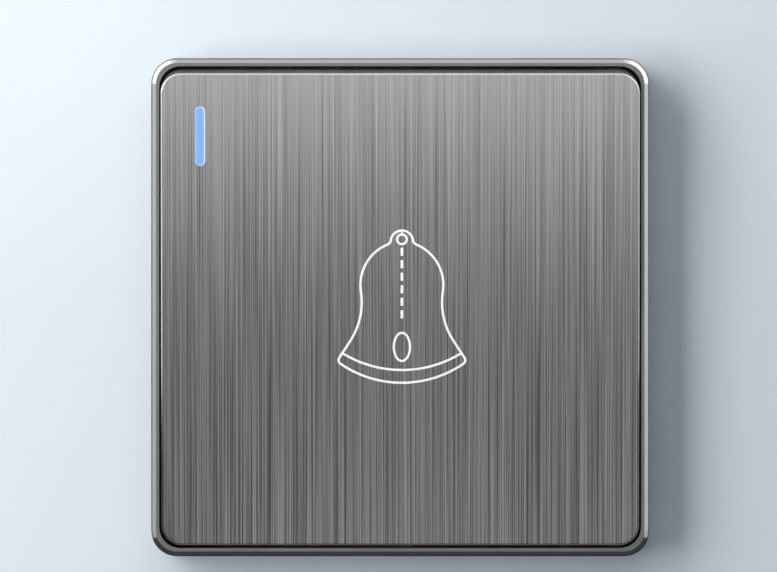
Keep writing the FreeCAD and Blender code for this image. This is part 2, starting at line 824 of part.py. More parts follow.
def bell_contour(y):
    """The centre line of the bell's contour: loop, shoulders, flared sides, rounded lips and base arc."""
    shoulder = Vector(shoulder_x, y, shoulder_z)
    flare = Vector(flare_x, y, flare_z)
    base = Vector(0, y, symbol_bottom + base_arc_radius)
    loop = Vector(0, y, loop_z)
    flare_radius = shoulder.distanceToPoint(flare) - shoulder_radius
    flare_bearing = 180 + flare_end_angle
    flare_foot = on_circle(flare, flare_radius, flare_bearing)
    inward = flare_foot - flare
    inward.normalize()
    downward = Vector(-inward.z, 0, inward.x)
    start = flare_foot + inward * lip_radius
    lip = line_meets_circle(start, downward, base, base_arc_radius - lip_radius)

    neck = on_circle(shoulder, shoulder_radius, shoulder_start_angle)
    waist_angle = bearing_of(shoulder, flare)
    waist = on_circle(shoulder, shoulder_radius, waist_angle)
    shoulder_middle = on_circle(shoulder, shoulder_radius, (shoulder_start_angle + waist_angle - 360) / 2)
    lip_top = lip - inward * lip_radius
    flare_middle = on_circle(flare, flare_radius, (bearing_of(flare, waist) + flare_bearing) / 2)
    lip_foot = on_circle(base, base_arc_radius, bearing_of(base, lip))
    outward = (flare_end_angle + bearing_of(base, lip) - 360) / 2
    lip_middle = on_circle(lip, lip_radius, outward)
    bottom = Vector(0, y, symbol_bottom)
    loop_foot = on_circle(loop, loop_radius, 0)
    loop_top = on_circle(loop, loop_radius, 90)

    def left(point):
        return Vector(-point.x, point.y, point.z)

    edges = [
        Part.Arc(left(loop_foot), loop_top, loop_foot).toShape(),
        Part.LineSegment(loop_foot, neck).toShape(),
        Part.Arc(neck, shoulder_middle, waist).toShape(),
        Part.Arc(waist, flare_middle, flare_foot).toShape(),
        Part.LineSegment(flare_foot, lip_top).toShape(),
        Part.Arc(lip_top, lip_middle, lip_foot).toShape(),
        Part.Arc(lip_foot, bottom, left(lip_foot)).toShape(),
        Part.Arc(left(lip_foot), left(lip_middle), left(lip_top)).toShape(),
        Part.LineSegment(left(lip_top), left(flare_foot)).toShape(),
        Part.Arc(left(flare_foot), left(flare_middle), left(waist)).toShape(),
        Part.Arc(left(waist), left(shoulder_middle), left(neck)).toShape(),
        Part.LineSegment(left(neck), left(loop_foot)).toShape(),
    ]
    return Part.Wire(edges)


def line_meets_circle(start, direction, centre, radius):
    """Where a line, followed from its start, leaves a circle in the same plane."""
    away = start - centre
    along = away.dot(direction)
    return start + direction * (math.sqrt(along**2 - away.Length**2 + radius**2) - along)


def tube_ring(radius, x, z, depth):
    """A circular stroke of paint."""
    outer = rod(radius + stroke / 2, (x, depth[0], z), (x, depth[1], z))
    return outer.cut(rod(radius - stroke / 2, (x, depth[0], z), (x, depth[1], z)))


def clapper(depth):
    """The oval clapper, drawn as a closed stroke."""

    def oval(grow):
        width, height = clapper_half_width + grow, clapper_half_height + grow
        centre = Vector(0, depth[0], clapper_z)
        top = centre + Vector(0, 0, height)
        side = centre + Vector(width, 0, 0)
        edge = Part.Ellipse(top, side, centre).toShape()
        return Part.Face(Part.Wire(edge))

    return oval(stroke / 2).cut(oval(-stroke / 2)).extrude(Vector(0, depth[1] - depth[0], 0))


def bell_symbol():
    """The paint that fills the engraving."""
    return tilted(level_symbol())


def rocker_lever():
    """The lever that the button clips to: plate, side webs with trunnions, pushing nose and stop foot."""
    top = plate(2 * lever_half_width, 2 * lever_half_height, module_corner, (lever_front, lever_back))
    boss = hub_radius
    web_x = (lever_half_width - lever_web, lever_half_width)
    profile = [
        Vector(web_x[0], lever_back - lever_plate / 2, -lever_web_half_height),
        Vector(web_x[0], lever_back - lever_plate / 2, lever_web_half_height),
        Vector(web_x[0], pivot_y, boss),
        Vector(web_x[0], pivot_y, -boss),
    ]
    web = Part.Face(Part.makePolygon(profile + profile[:1])).extrude(Vector(lever_web, 0, 0))
    hub = rod(boss, (web_x[0], pivot_y, 0), (web_x[1], pivot_y, 0))
    trunnion = rod(trunnion_radius, (web_x[0], pivot_y, 0), (web_x[1] + trunnion_reach, pivot_y, 0))
    side = fuse(web, hub, trunnion)
    pads = []
    for z, centre_y in ((plunger_z, nose_y), (-plunger_z, foot_y)):
        tip = rod(nose_radius, (-nose_half_width, centre_y, z), (nose_half_width, centre_y, z))
        stem = block(
            (-nose_half_width, nose_half_width),
            (lever_back - lever_plate / 2, centre_y),
            (z - nose_radius, z + nose_radius),
        )
        pads += [tip, stem]
    rib_y = (lever_back - lever_plate / 2, lever_back + stiffener_height)
    for x in (-nose_half_width, nose_half_width):
        span = (x - stiffener_thickness / 2, x + stiffener_thickness / 2)
        pads.append(block(span, rib_y, (-plunger_z, plunger_z)))
    return tilted(fuse(top, side, mirrored(side), *pads))


def plunger():
    """The sprung plunger: stem, flange, and an open cage that carries the contact bridge."""
    z = plunger_z
    stem = rod(plunger_radius, (0, plunger_top, z), (0, cage_front, z))
    crown = [
        e
        for e in stem.Edges
        if len(e.Vertexes) == 1 and abs(e.Vertexes[0].Y - plunger_top) < 1e-6
    ]
    stem = stem.makeChamfer(plunger_radius / 5, crown)
    flange = rod(flange_radius, (0, flange_front, z), (0, cage_front, z))
    base = rod(flange_radius, (0, cage_back, z), (0, plunger_back, z))
    spigot = rod(spigot_radius, (0, cage_back, z), (0, plunger_back + spigot_length, z))
    cheeks = []
    inner = bridge_width / 2 + bridge_seat_gap
    round_body = rod(flange_radius, (0, cage_front - 0.2, z), (0, cage_back + 0.2, z))
    for side in (-1, 1):
        z_span = (z + side * inner, z + side * (inner + cage_wall))
        wall = block((-cage_half_width, cage_half_width), (cage_front - 0.2, cage_back + 0.2), z_span)
        cheeks.append(wall.common(round_body))
    return fuse(stem, flange, base, spigot, *cheeks)


def contact_bridge():
    """The springy bar that joins the two fixed contacts when the plunger goes in."""
    bar = plate(bridge_length, bridge_width, strip_corner, (bridge_front, bridge_back), 0, plunger_z)
    narrow_z = bridge_width / 2 - cage_wall / 2
    for side in (-1, 1):
        for edge in (-1, 1):
            notch_x = (side * (cage_half_width + 1), side * (contact_x - rivet_radius - 0.4))
            notch_z = (plunger_z + edge * narrow_z, plunger_z + edge * bridge_width)
            bar = bar.cut(block(notch_x, (bridge_front - 1, bridge_back + 1), notch_z))
    return bar


def rivet_pair(front):
    """A contact button at each end, seen as two short domed discs."""
    buttons = []
    for side in (-1, 1):
        x = side * contact_x
        buttons.append(rod(rivet_radius, (x, front, plunger_z), (x, front + rivet_height, plunger_z)))
    return Part.makeCompound(buttons)


def bridge_rivets():
    return rivet_pair(bridge_back)


def fixed_rivets():
    return rivet_pair(fixed_rivet_front)


def contact_spring():
    """The spring in the cage that presses the bridge against the fixed contacts."""
    return coil(
        contact_spring_radius, contact_spring_wire, contact_spring_turns, cage_front, bridge_front, plunger_z
    )


def return_spring():
    """The spring behind the plunger that brings the button back out."""
    return coil(
        return_spring_radius, return_spring_wire, return_spring_turns, plunger_back, housing_floor, plunger_z
    )


def contact_strip_right():
    """A stamped strip from a fixed contact down to its wire terminal, staked to the housing."""
    y_range = (strip_front, strip_back)
    foot_z = terminal_z - terminal_height / 2
    pad_z = plunger_z + strip_pad_half_height
    width = strip_outer_x - strip_inner_x
    leg_x = (strip_inner_x + strip_outer_x) / 2
    leg = plate(width, pad_z - foot_z, strip_corner, y_range, leg_x, (pad_z + foot_z) / 2)
    pad_width = strip_outer_x - strip_pad_x
    pad_x = (strip_pad_x + strip_outer_x) / 2
    pad = plate(pad_width, 2 * strip_pad_half_height, strip_corner, y_range, pad_x, plunger_z)
    stake_z = partition_z + partition_thickness / 2
    hole = rod(stake_radius + 0.02, (leg_x, strip_front - 1, stake_z), (leg_x, strip_back + 1, stake_z))
    return fuse(leg, pad).cut(hole)


def contact_strip_left():
    return mirrored(contact_strip_right())


def terminal_block_right():
    """A brass tunnel for one bell wire, open at the rear, with a clamping screw from below."""
    half_x = terminal_width / 2
    half_z = terminal_height / 2
    body = block(
        (terminal_x - half_x, terminal_x + half_x),
        (strip_back, terminal_back),
        (terminal_z - half_z, terminal_z + half_z),
    )
    tunnel_start = (terminal_x, strip_back - 1, terminal_z)
    tunnel_end = (terminal_x, terminal_back + 1, terminal_z)
    screw_foot = (terminal_x, terminal_screw_y, terminal_z - terminal_height)
    screw_top = (terminal_x, terminal_screw_y, terminal_z)
    body = body.cut(rod(wire_bore_radius, tunnel_start, tunnel_end))
    return body.cut(rod(terminal_screw_radius, screw_foot, screw_top))


def terminal_block_left():
    return mirrored(terminal_block_right())


def terminal_screws():
    """The two clamping screws, backed off so that a wire can go in."""
    middle_y = terminal_screw_y
    block_foot = terminal_z - terminal_height / 2
    head_top = block_foot - terminal_screw_lift
    head_foot = head_top - terminal_screw_head_height
    tip = terminal_z - wire_bore_radius - 0.1
    shank_radius = terminal_screw_radius - 0.02
    shank = rod(shank_radius, (terminal_x, middle_y, head_foot + 0.5), (terminal_x, middle_y, tip))
    head = rod(terminal_screw_head_radius, (terminal_x, middle_y, head_foot), (terminal_x, middle_y, head_top))
    slot_half = terminal_screw_head_radius * 0.14
    slot = block(
        (terminal_x - 2 * terminal_screw_head_radius, terminal_x + 2 * terminal_screw_head_radius),
        (middle_y - slot_half, middle_y + slot_half),
        (head_foot - 1, head_foot + terminal_screw_head_height * 0.4),
    )
    right = fuse(head, shank).cut(slot)
    return Part.makeCompound([right, mirrored(right)])


def lamp_holder():
    """A moulded seat for the lamp board behind the window, with two pins staked in the yoke."""
    width = lamp_board_width + 2 * lamp_holder_wall
    length = lamp_board_length + 2 * lamp_holder_wall
    base = plate(width, length, lamp_holder_wall, (yoke_front - lamp_holder_base, yoke_front), lens_x, lens_z)
    wall_front = lamp_board_front - 0.3
    body = plate(width, length, lamp_holder_wall, (wall_front, yoke_front), lens_x, lens_z)
    gap = lens_gap
    board_space = block(
        (lens_x - lamp_board_width / 2 - gap, lens_x + lamp_board_width / 2 + gap),
        (wall_front - 1, lamp_board_back),
        (lens_z - lamp_board_length / 2 - gap, lens_z + lamp_board_length / 2 + gap),
    )
    ledge = lamp_holder_wall
    under = block(
        (lens_x - lamp_board_width / 2 + ledge, lens_x + lamp_board_width / 2 - ledge),
        (wall_front - 1, yoke_front - lamp_holder_base),
        (lens_z - lamp_board_length / 2 + ledge, lens_z + lamp_board_length / 2 - ledge),
    )
    exit_z = (lens_z - length, lens_z - lamp_board_length / 2 + 2 * ledge)
    wire_exit = block(
        (lens_x - lamp_board_width / 2 + ledge, lens_x + width),
        (wall_front - 1, yoke_front - lamp_holder_base),
        exit_z,
    )
    body = body.cut(board_space).cut(under).cut(wire_exit)
    pins = [
        rod(lamp_pin_radius, (lens_x, yoke_front - 0.5, z), (lens_x, 0, z)) for z in lamp_pin_places()
    ]
    return fuse(body, base, *pins)


def lamp_board():
    """The small circuit board that carries the lamp."""
    return plate(
        lamp_board_width, lamp_board_length, 0.5, (lamp_board_front, lamp_board_back), lens_x, lens_z
    )


def lamp_led():
    """The surface-mounted lamp, facing the rear of the window."""
    base_y = (lamp_board_front - led_height * 0.6, lamp_board_front)
    body = plate(led_width, led_length, 0.3, base_y, lens_x, lens_z)
    top = lamp_board_front - led_height
    dome = Part.makeCone(
        led_width * 0.42, led_width * 0.34, led_height * 0.4, Vector(lens_x, base_y[0], lens_z), Vector(0, -1, 0)
    )
    return fuse(body, dome) if dome.BoundBox.YMin >= top - 1e-6 else body


def lamp_resistor():
    """The lamp's series resistor, lying on the board above it."""
    z = lens_z + lamp_board_length / 2 - 2.2
    y = lamp_board_front - resistor_radius
    half = resistor_length / 2
    body = rod(resistor_radius, (lens_x - half, y, z), (lens_x + half, y, z))
    ends = [e for e in body.Edges if len(e.Vertexes) == 1]
    return body.makeChamfer(resistor_radius * 0.35, ends)


# Routes of the two lamp wires: from the board, along the yoke, through the cover's notch and
# the yoke's window, to the contact strips
wire_step = 0.8
wire_entry_z = window_height / 2 - spigot_wall - 2.2
wire_dive_x = -window_width / 2 + spigot_wall
solder_y = lamp_board_back + wire_diameter / 2 + 0.02
along_yoke = yoke_front - 0.75 * wire_diameter
strip_joint_x = strip_outer_x - wire_diameter
strip_joint_z = plunger_z + 1.4
over_flange_z = plunger_z + flange_radius + 1.4
wire_leave_z = lens_z - 7.6


def between(first, last, share):
    """A place on the way from the first to the last."""
    return first + share * (last - first)


wire_route_left = [
    (lens_x - 1.1, solder_y, lens_z - 3.0),
    (lens_x - 1.1, solder_y, wire_leave_z),
    (lens_x + 0.5, along_yoke, between(wire_leave_z, wire_entry_z - wire_step, 0.44)),
    (between(lens_x + 0.5, wire_dive_x, 0.395), along_yoke, wire_entry_z - wire_step),
    (wire_dive_x, along_yoke, wire_entry_z - wire_step),
    (wire_dive_x + 2.4, 2.2, wire_entry_z - wire_step),
    (-strip_joint_x, 7.0, strip_joint_z),
    (-strip_joint_x, strip_front, strip_joint_z),
]
wire_route_right = [
    (lens_x + 1.5, solder_y, lens_z - 3.0),
    (lens_x + 1.5, solder_y, wire_leave_z),
    (lens_x + 3.3, along_yoke, between(wire_leave_z, wire_entry_z + wire_step, 0.457)),
    (between(lens_x + 3.3, wire_dive_x, 0.343), along_yoke, wire_entry_z + wire_step),
    (wire_dive_x, along_yoke, wire_entry_z + wire_step),
    (wire_dive_x + 2.4, 2.4, wire_entry_z + 1.5 * wire_step),
    (-contact_x, 5.0, over_flange_z),
    (0.7 * contact_x, 5.0, over_flange_z),
    (strip_joint_x, 7.4, strip_joint_z),
    (strip_joint_x, strip_front, strip_joint_z),
]


def lamp_wire_left():
    return wire_run(wire_route_left, wire_diameter)


def lamp_wire_right():
    return wire_run(wire_route_right, wire_diameter)


PIECES = (
    trim_frame,
    mounting_yoke,
    module_housing,
    module_cover,
    cover_screws,
    button_carrier,
    button_skin,
    bell_symbol,
    indicator_lens,
    rocker_lever,
    plunger,
    contact_bridge,
    bridge_rivets,
    fixed_rivets,
    contact_spring,
    return_spring,
    contact_strip_left,
    contact_strip_right,
    terminal_block_left,
    terminal_block_right,
    terminal_screws,
    lamp_holder,
    lamp_board,
    lamp_led,
    lamp_resistor,
    lamp_wire_left,
    lamp_wire_right,
)


def main():
    os.makedirs("parts", exist_ok=True)
    for piece in PIECES:
        shape = piece()
        solids = shape.Solids
        name = piece.__name__
        print(name, "solids", len(solids), "valid", shape.isValid(), "volume", round(shape.Volume, 2))
        kept = solids[0] if len(solids) == 1 else Part.makeCompound(solids)
        kept.exportStep(os.path.join("parts", name + ".step"))


main()
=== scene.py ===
import contextlib
import math

import bpy
from bpy.props import FloatProperty, FloatVectorProperty, IntProperty, PointerProperty
from bpy.types import NodeSocket, Operator, Panel, PropertyGroup
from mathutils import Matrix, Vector


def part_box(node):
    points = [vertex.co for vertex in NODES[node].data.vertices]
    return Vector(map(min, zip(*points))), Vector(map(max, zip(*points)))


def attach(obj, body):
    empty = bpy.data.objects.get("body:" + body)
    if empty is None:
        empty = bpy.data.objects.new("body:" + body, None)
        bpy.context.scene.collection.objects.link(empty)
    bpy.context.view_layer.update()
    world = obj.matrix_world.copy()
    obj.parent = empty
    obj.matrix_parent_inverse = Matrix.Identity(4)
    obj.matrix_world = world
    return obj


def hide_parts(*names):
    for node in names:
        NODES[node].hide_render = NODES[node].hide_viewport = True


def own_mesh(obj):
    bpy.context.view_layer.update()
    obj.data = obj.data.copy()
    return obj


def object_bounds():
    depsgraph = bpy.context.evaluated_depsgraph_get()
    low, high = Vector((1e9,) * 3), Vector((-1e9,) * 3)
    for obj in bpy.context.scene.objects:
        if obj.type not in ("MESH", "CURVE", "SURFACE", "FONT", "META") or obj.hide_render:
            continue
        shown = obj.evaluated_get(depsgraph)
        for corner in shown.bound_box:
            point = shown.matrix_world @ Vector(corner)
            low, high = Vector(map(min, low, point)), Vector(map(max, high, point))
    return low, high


bl_info = {
    "name": "Doorbell Push Finish",
    "version": (1, 0, 0),
    "blender": (4, 5, 0),
    "location": "3D View > Sidebar > Doorbell",
    "description": "Finishes, springs, screws and studio for a square brushed-metal doorbell push",
    "category": "Object",
}

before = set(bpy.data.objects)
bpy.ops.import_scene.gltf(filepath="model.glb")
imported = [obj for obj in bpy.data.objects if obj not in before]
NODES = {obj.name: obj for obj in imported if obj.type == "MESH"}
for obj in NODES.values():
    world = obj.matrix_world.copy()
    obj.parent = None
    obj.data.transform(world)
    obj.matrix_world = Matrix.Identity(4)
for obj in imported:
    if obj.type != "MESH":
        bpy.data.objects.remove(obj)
CAD_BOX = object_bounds()

# At rest the face tilts about the trunnions, so that its top edge stands out.
REST_TILT = math.radians(3.8)
TRUNNION_FORWARD = 0.0046
FACE_OVER_TRUNNION = 0.0069
FACE_NORMAL = (0.0, -math.cos(REST_TILT), -math.sin(REST_TILT))
FACE_FORWARD = TRUNNION_FORWARD * math.cos(REST_TILT) + FACE_OVER_TRUNNION

# The photograph, in pixels. The plate's middle lies right of and below the picture's.
PICTURE_WIDTH = 777
PLATE_RIGHT = 11.75
PLATE_DOWN = 21.25

# How far the frame's rim lies behind the button's foremost edge
RIM_BEHIND_BUTTON = 0.0036

# Corners nearer than this are one corner.
SAME_CORNER = 0.000001

ORIGIN = (0.0, 0.0, 0.0)
UPRIGHT = (math.pi / 2, 0, 0)
WHITE = (1.0, 1.0, 1.0)
PALE = (0.82, 0.87, 0.92)


def centre_of(node):
    """Middle of a node's box, in metres."""
    low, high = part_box(node)
    return (low + high) / 2


# Sizes and colours


def colour_property(name, description, default):
    """A colour that a user can change."""
    return FloatVectorProperty(
        name=name, description=description, subtype="COLOR", size=3, min=0, max=1, default=default,
    )


def length_property(name, description, low, high, default):
    """A length that a user can change, in metres."""
    return FloatProperty(
        name=name, description=description, subtype="DISTANCE", unit="LENGTH",
        min=low, max=high, default=default,
    )


def power_property(name, description, default):
    """The power of a lamp, in watts."""
    return FloatProperty(
        name=name, description=description, subtype="POWER", unit="POWER", min=0, max=100, default=default,
    )


class FaceSettings(PropertyGroup):
    metal: colour_property("Metal", "Colour of the brushed face", (0.276, 0.277, 0.279))
    cut_metal: colour_property("Cut Edge", "Colour of the bright bevel round the face", (0.70, 0.705, 0.71))
    line_width: length_property("Line Width", "Width of the finest brush line", 0.00002, 0.002, 0.00015)
    line_length: length_property("Line Length", "Length of a brush line", 0.002, 0.2, 0.06)
    contrast: FloatProperty(
        name="Contrast", description="How much the brush lines differ in shade",
        subtype="FACTOR", min=0, max=1, default=0.9,
    )
    paint: colour_property("Symbol Paint", "Colour of the paint in the engraved bell", (0.93, 0.935, 0.935))


class FrameSettings(PropertyGroup):
    lacquer: colour_property("Lacquer", "Colour of the metallic lacquer on the frame", (0.152, 0.153, 0.153))
    rim: colour_property("Rim", "Colour of the polished rim bevel", (0.50, 0.48, 0.455))
    button: colour_property("Button Body", "Colour of the moulded body behind the face", (0.14, 0.142, 0.145))


class LensSettings(PropertyGroup):
    glow: colour_property("Glow", "Colour of the lit indicator bar", (0.20, 0.43, 0.84))
    level: FloatProperty(
        name="Level", description="How bright the indicator bar is lit", min=0, max=5, default=0.9,
    )


class ModuleSettings(PropertyGroup):
    moulding: colour_property("Moulding", "Colour of the switch housing", (0.80, 0.80, 0.775))
    mechanism: colour_property("Mechanism", "Colour of the lever and the plunger", (0.09, 0.093, 0.10))


class FastenerSettings(PropertyGroup):
    cover_pitch: length_property(
        "Cover Screw Pitch", "Distance between turns of the coarse cover screw thread", 0.0008, 0.002, 0.0012,
    )
    cover_depth: length_property(
        "Cover Screw Thread", "Height of the coarse cover screw thread", 0.0001, 0.0005, 0.00036,
    )
    terminal_pitch: length_property(
        "Terminal Screw Pitch", "Distance between turns of the fine terminal screw thread", 0.0004, 0.001, 0.0005,
    )
    terminal_depth: length_property(
        "Terminal Screw Thread", "Height of the fine terminal screw thread", 0.0001, 0.0004, 0.00022,
    )
    steps: IntProperty(name="Steps", description="Corners in one turn of a thread", min=12, max=64, default=32)


class SpringSettings(PropertyGroup):
    return_wire: length_property("Return Wire", "Diameter of the return spring's wire", 0.0002, 0.001, 0.00045)
    return_turns: FloatProperty(
        name="Return Turns", description="Open turns of the return spring", min=2, max=10, default=5,
    )
    contact_wire: length_property("Contact Wire", "Diameter of the contact spring's wire", 0.0002, 0.001, 0.0004)
    contact_turns: FloatProperty(
        name="Contact Turns", description="Open turns of the contact spring", min=2, max=10, default=3,
    )
    steps: IntProperty(name="Steps", description="Corners in one turn of a spring", min=12, max=64, default=32)


class StudioSettings(PropertyGroup):
    wall: colour_property("Wall", "Colour of the wall behind the plate", (0.655, 0.715, 0.775))
    key_power: power_property("Key Lamp", "Power of the lamp at the upper left", 8.2)
    top_power: power_property("Top Lamp", "Power of the lamp above the plate", 0.75)
    ambient: FloatProperty(
        name="Ambient", description="Strength of the light from all round", min=0, max=3, default=0.12,
    )
    distance: length_property("Camera Distance", "Distance of the camera in front of the wall", 0.3, 5, 1.4)
    plate_pixels: FloatProperty(
        name="Plate Width", description="Width of the plate in the picture, in pixels of a 777 pixel frame",
        subtype="PIXEL", min=50, max=PICTURE_WIDTH, default=498,
    )


# Shader groups


def connect(tree, node, inputs):
    """Links each input that is given a socket, and sets the others."""
    for key, value in inputs.items():
        if isinstance(value, NodeSocket):
            tree.links.new(value, node.inputs[key])
        else:
            node.inputs[key].default_value = value


def put(tree, kind, inputs=None, **settings):
    """Adds a node, sets its options, and sets or links its inputs."""
    node = tree.nodes.new("ShaderNode" + kind)
    node.location = (180 * (len(tree.nodes) % 8), -220 * (len(tree.nodes) // 8))
    for key, value in settings.items():
        setattr(node, key, value)
    connect(tree, node, inputs or {})
    return node


def place(tree, group, inputs):
    """Puts a group in a material with its own values, and gives its outputs."""
    node = tree.nodes.new("ShaderNodeGroup")
    node.node_tree = bpy.data.node_groups[group]
    node.location = (-300, -220 * len(tree.nodes))
    connect(tree, node, inputs)
    return node.outputs


def maths(tree, operation, *values, clamp=False):
    """The result of a Math node."""
    return put(tree, "Math", dict(enumerate(values)), operation=operation, use_clamp=clamp).outputs[0]


def product(tree, first, *others):
    """Values multiplied together."""
    for value in others:
        first = maths(tree, "MULTIPLY", first, value)
    return first


def vector_maths(tree, operation, *values):
    """The result of a Vector Math node, which is one number for a dot product or a length."""
    node = put(tree, "VectorMath", dict(enumerate(values)), operation=operation)
    return node.outputs["Value" if operation in ("DOT_PRODUCT", "LENGTH") else "Vector"]


def part_of(tree, vector, axis):
    """The X, Y or Z of a vector."""
    return put(tree, "SeparateXYZ", {0: vector}).outputs[axis]


def noise(tree, vector, scale, detail=3.0, roughness=0.55):
    """The value of a noise texture."""
    inputs = {"Vector": vector, "Scale": scale, "Detail": detail, "Roughness": roughness}
    return put(tree, "TexNoise", inputs).outputs["Fac"]


def spread(tree, value, low, high, new_low=0.0, new_high=1.0):
    """A value carried from one range to another, held at its ends."""
    inputs = {"Value": value, "From Min": low, "From Max": high, "To Min": new_low, "To Max": new_high}
    return put(tree, "MapRange", inputs).outputs["Result"]


def band(tree, value, low, low_full, high_full, high):
    """Mask of the values in a band, soft at both ends."""
    return product(tree, spread(tree, value, low, low_full), spread(tree, value, high_full, high, 1.0, 0.0))


def opaque(colour):
    """A colour with its alpha, or the socket of one."""
    return colour if isinstance(colour, NodeSocket) else (*colour, 1.0)


def blended(tree, share, first, second, mode="MIX"):
    """A colour mixed from two."""
    inputs = {0: share, 6: opaque(first), 7: opaque(second)}
    return put(tree, "Mix", inputs, data_type="RGBA", blend_type=mode).outputs[2]


def toned(tree, share, colour, first, second):
    """A colour that goes from one multiple of itself to another."""
    colour = Vector(colour)
    return blended(tree, share, colour * first, colour * second)


def new_group(name, inputs, outputs):
    """A node group that is given a vector and more: (tree, the vector, all it is given, its output node)."""
    tree = bpy.data.node_groups.new(name, "ShaderNodeTree")
    for label, default in {"Vector": ORIGIN, **inputs}.items():
        kind = "NodeSocketFloat" if isinstance(default, float) else "NodeSocketVector"
        tree.interface.new_socket(label, in_out="INPUT", socket_type=kind).default_value = default
    for label in outputs:
        tree.interface.new_socket(label, in_out="OUTPUT", socket_type="NodeSocketFloat")
    entry = tree.nodes.new("NodeGroupInput")
    leave = tree.nodes.new("NodeGroupOutput")
    leave.location = (1400, 0)
    return tree, entry.outputs["Vector"], entry.outputs, leave


def brush_lines_group():
    """Fine brush lines: a shade for the colour and a height for the relief."""
    inputs = {"Line Width": 0.0002, "Line Length": 0.04, "Contrast": 0.5}
    tree, where, given, leave = new_group("Brush Lines", inputs, ("Shade", "Height"))
    across = maths(tree, "DIVIDE", 1.0, given["Line Width"])
    along = maths(tree, "DIVIDE", 1.0, given["Line Length"])
    scale = put(tree, "CombineXYZ", {"X": across, "Y": 0.0, "Z": along}).outputs[0]
    lined = vector_maths(tree, "MULTIPLY", where, scale)
    moved = vector_maths(tree, "MULTIPLY_ADD", lined, (0.71, 0.0, 1.37), (41.3, 7.7, 3.5))
    both = maths(tree, "ADD", noise(tree, lined, 1.0, 0.0, 0.6), noise(tree, moved, 1.0, 1.0, 0.6))
    fine = maths(tree, "MULTIPLY_ADD", both, 0.7, -0.2)
    total = product(tree, fine, 0.93)
    for stretch, roughness, share in (((0.35, 0.0, 0.6), 0.6, 0.05), ((0.08, 0.0, 0.25), 0.5, 0.02)):
        coarse = noise(tree, vector_maths(tree, "MULTIPLY", lined, stretch), 1.0, 1.0, roughness)
        total = maths(tree, "ADD", total, product(tree, coarse, share))
    centred = maths(tree, "SUBTRACT", total, 0.5)
    shade = maths(tree, "MULTIPLY_ADD", centred, product(tree, given["Contrast"], 2.8), 0.5, clamp=True)
    connect(tree, leave, {"Shade": shade, "Height": fine})


def moulded_grain_group():
    """The eroded grain of a mould, and the slow clouding of what flowed into it."""
    inputs = {"Grain Size": 0.0003, "Flow": 0.3}
    tree, where, given, leave = new_group("Moulded Grain", inputs, ("Height", "Cloud"))
    pits = noise(tree, where, maths(tree, "DIVIDE", 1.0, given["Grain Size"]), 2.0, 0.5)
    cloud = noise(tree, where, 90.0, 3.0, 0.55)
    connect(tree, leave, {"Height": maths(tree, "MULTIPLY_ADD", cloud, given["Flow"], pits), "Cloud": cloud})


def edge_wear_group():
    """Mask of the outer edges of a box, with ragged gaps."""
    inputs = {"Centre": ORIGIN, "Half Size": (1.0, 1.0, 1.0), "Width": 0.0005, "Breakup": 0.6}
    tree, where, given, leave = new_group("Edge Wear", inputs, ("Mask",))
    local = vector_maths(tree, "SUBTRACT", where, given["Centre"])
    past = vector_maths(tree, "SUBTRACT", vector_maths(tree, "ABSOLUTE", local), given["Half Size"])
    near = []
    for axis in "XYZ":
        inside = maths(tree, "DIVIDE", part_of(tree, past, axis), given["Width"])
        near.append(maths(tree, "ADD", inside, 1.0, clamp=True))
    pairs = [product(tree, near[a], near[b]) for a, b in ((0, 1), (1, 2), (0, 2))]
    most = maths(tree, "MAXIMUM", maths(tree, "MAXIMUM", pairs[0], pairs[1]), pairs[2])
    ragged = spread(tree, noise(tree, where, 900.0, 4.0, 0.65), 0.35, 0.65)
    cut = product(tree, ragged, given["Breakup"])
    connect(tree, leave, {"Mask": maths(tree, "SUBTRACT", most, cut, clamp=True)})


def handling_group():
    """Smudges left by hands, and small specks."""
    tree, where, given, leave = new_group("Handling", {"Size": 0.02}, ("Smudge", "Speck"))
    cloud = noise(tree, where, maths(tree, "DIVIDE", 1.0, given["Size"]), 4.0, 0.6)
    cells = put(tree, "TexVoronoi", {"Vector": where, "Scale": 1400.0})
    speck = spread(tree, cells.outputs["Distance"], 0.04, 0.12, 1.0, 0.0)
    connect(tree, leave, {"Smudge": spread(tree, cloud, 0.35, 0.7), "Speck": speck})


def settled_dust_group():
    """Mask of the dust on what faces up."""
    inputs = {"Normal": (0.0, 0.0, 1.0), "Amount": 0.4}
    tree, where, given, leave = new_group("Settled Dust", inputs, ("Mask",))
    facing = spread(tree, part_of(tree, given["Normal"], "Z"), 0.45, 0.95)
    fluff = spread(tree, noise(tree, where, 700.0, 5.0, 0.7), 0.4, 0.7, 0.25, 1.0)
    connect(tree, leave, {"Mask": product(tree, facing, fluff, given["Amount"])})


def metal_plating_group():
    """The clouded tone of plated or rolled metal, and its rolling lines."""
    inputs = {"Cell Size": 0.0015}
    tree, where, given, leave = new_group("Metal Plating", inputs, ("Tone", "Height"))
    per_metre = maths(tree, "DIVIDE", 1.0, given["Cell Size"])
    cells = put(tree, "TexVoronoi", {"Vector": where, "Scale": per_metre}, feature="SMOOTH_F1")
    tone = put(tree, "SeparateColor", {0: cells.outputs["Color"]}).outputs[0]
    cloud = noise(tree, where, 160.0, 4.0, 0.6)
    mixed = maths(tree, "ADD", product(tree, tone, 0.35), product(tree, cloud, 0.65))
    rolling = vector_maths(tree, "MULTIPLY", where, (5000.0, 900.0, 900.0))
    connect(tree, leave, {"Tone": mixed, "Height": noise(tree, rolling, 1.0, 3.0, 0.6)})


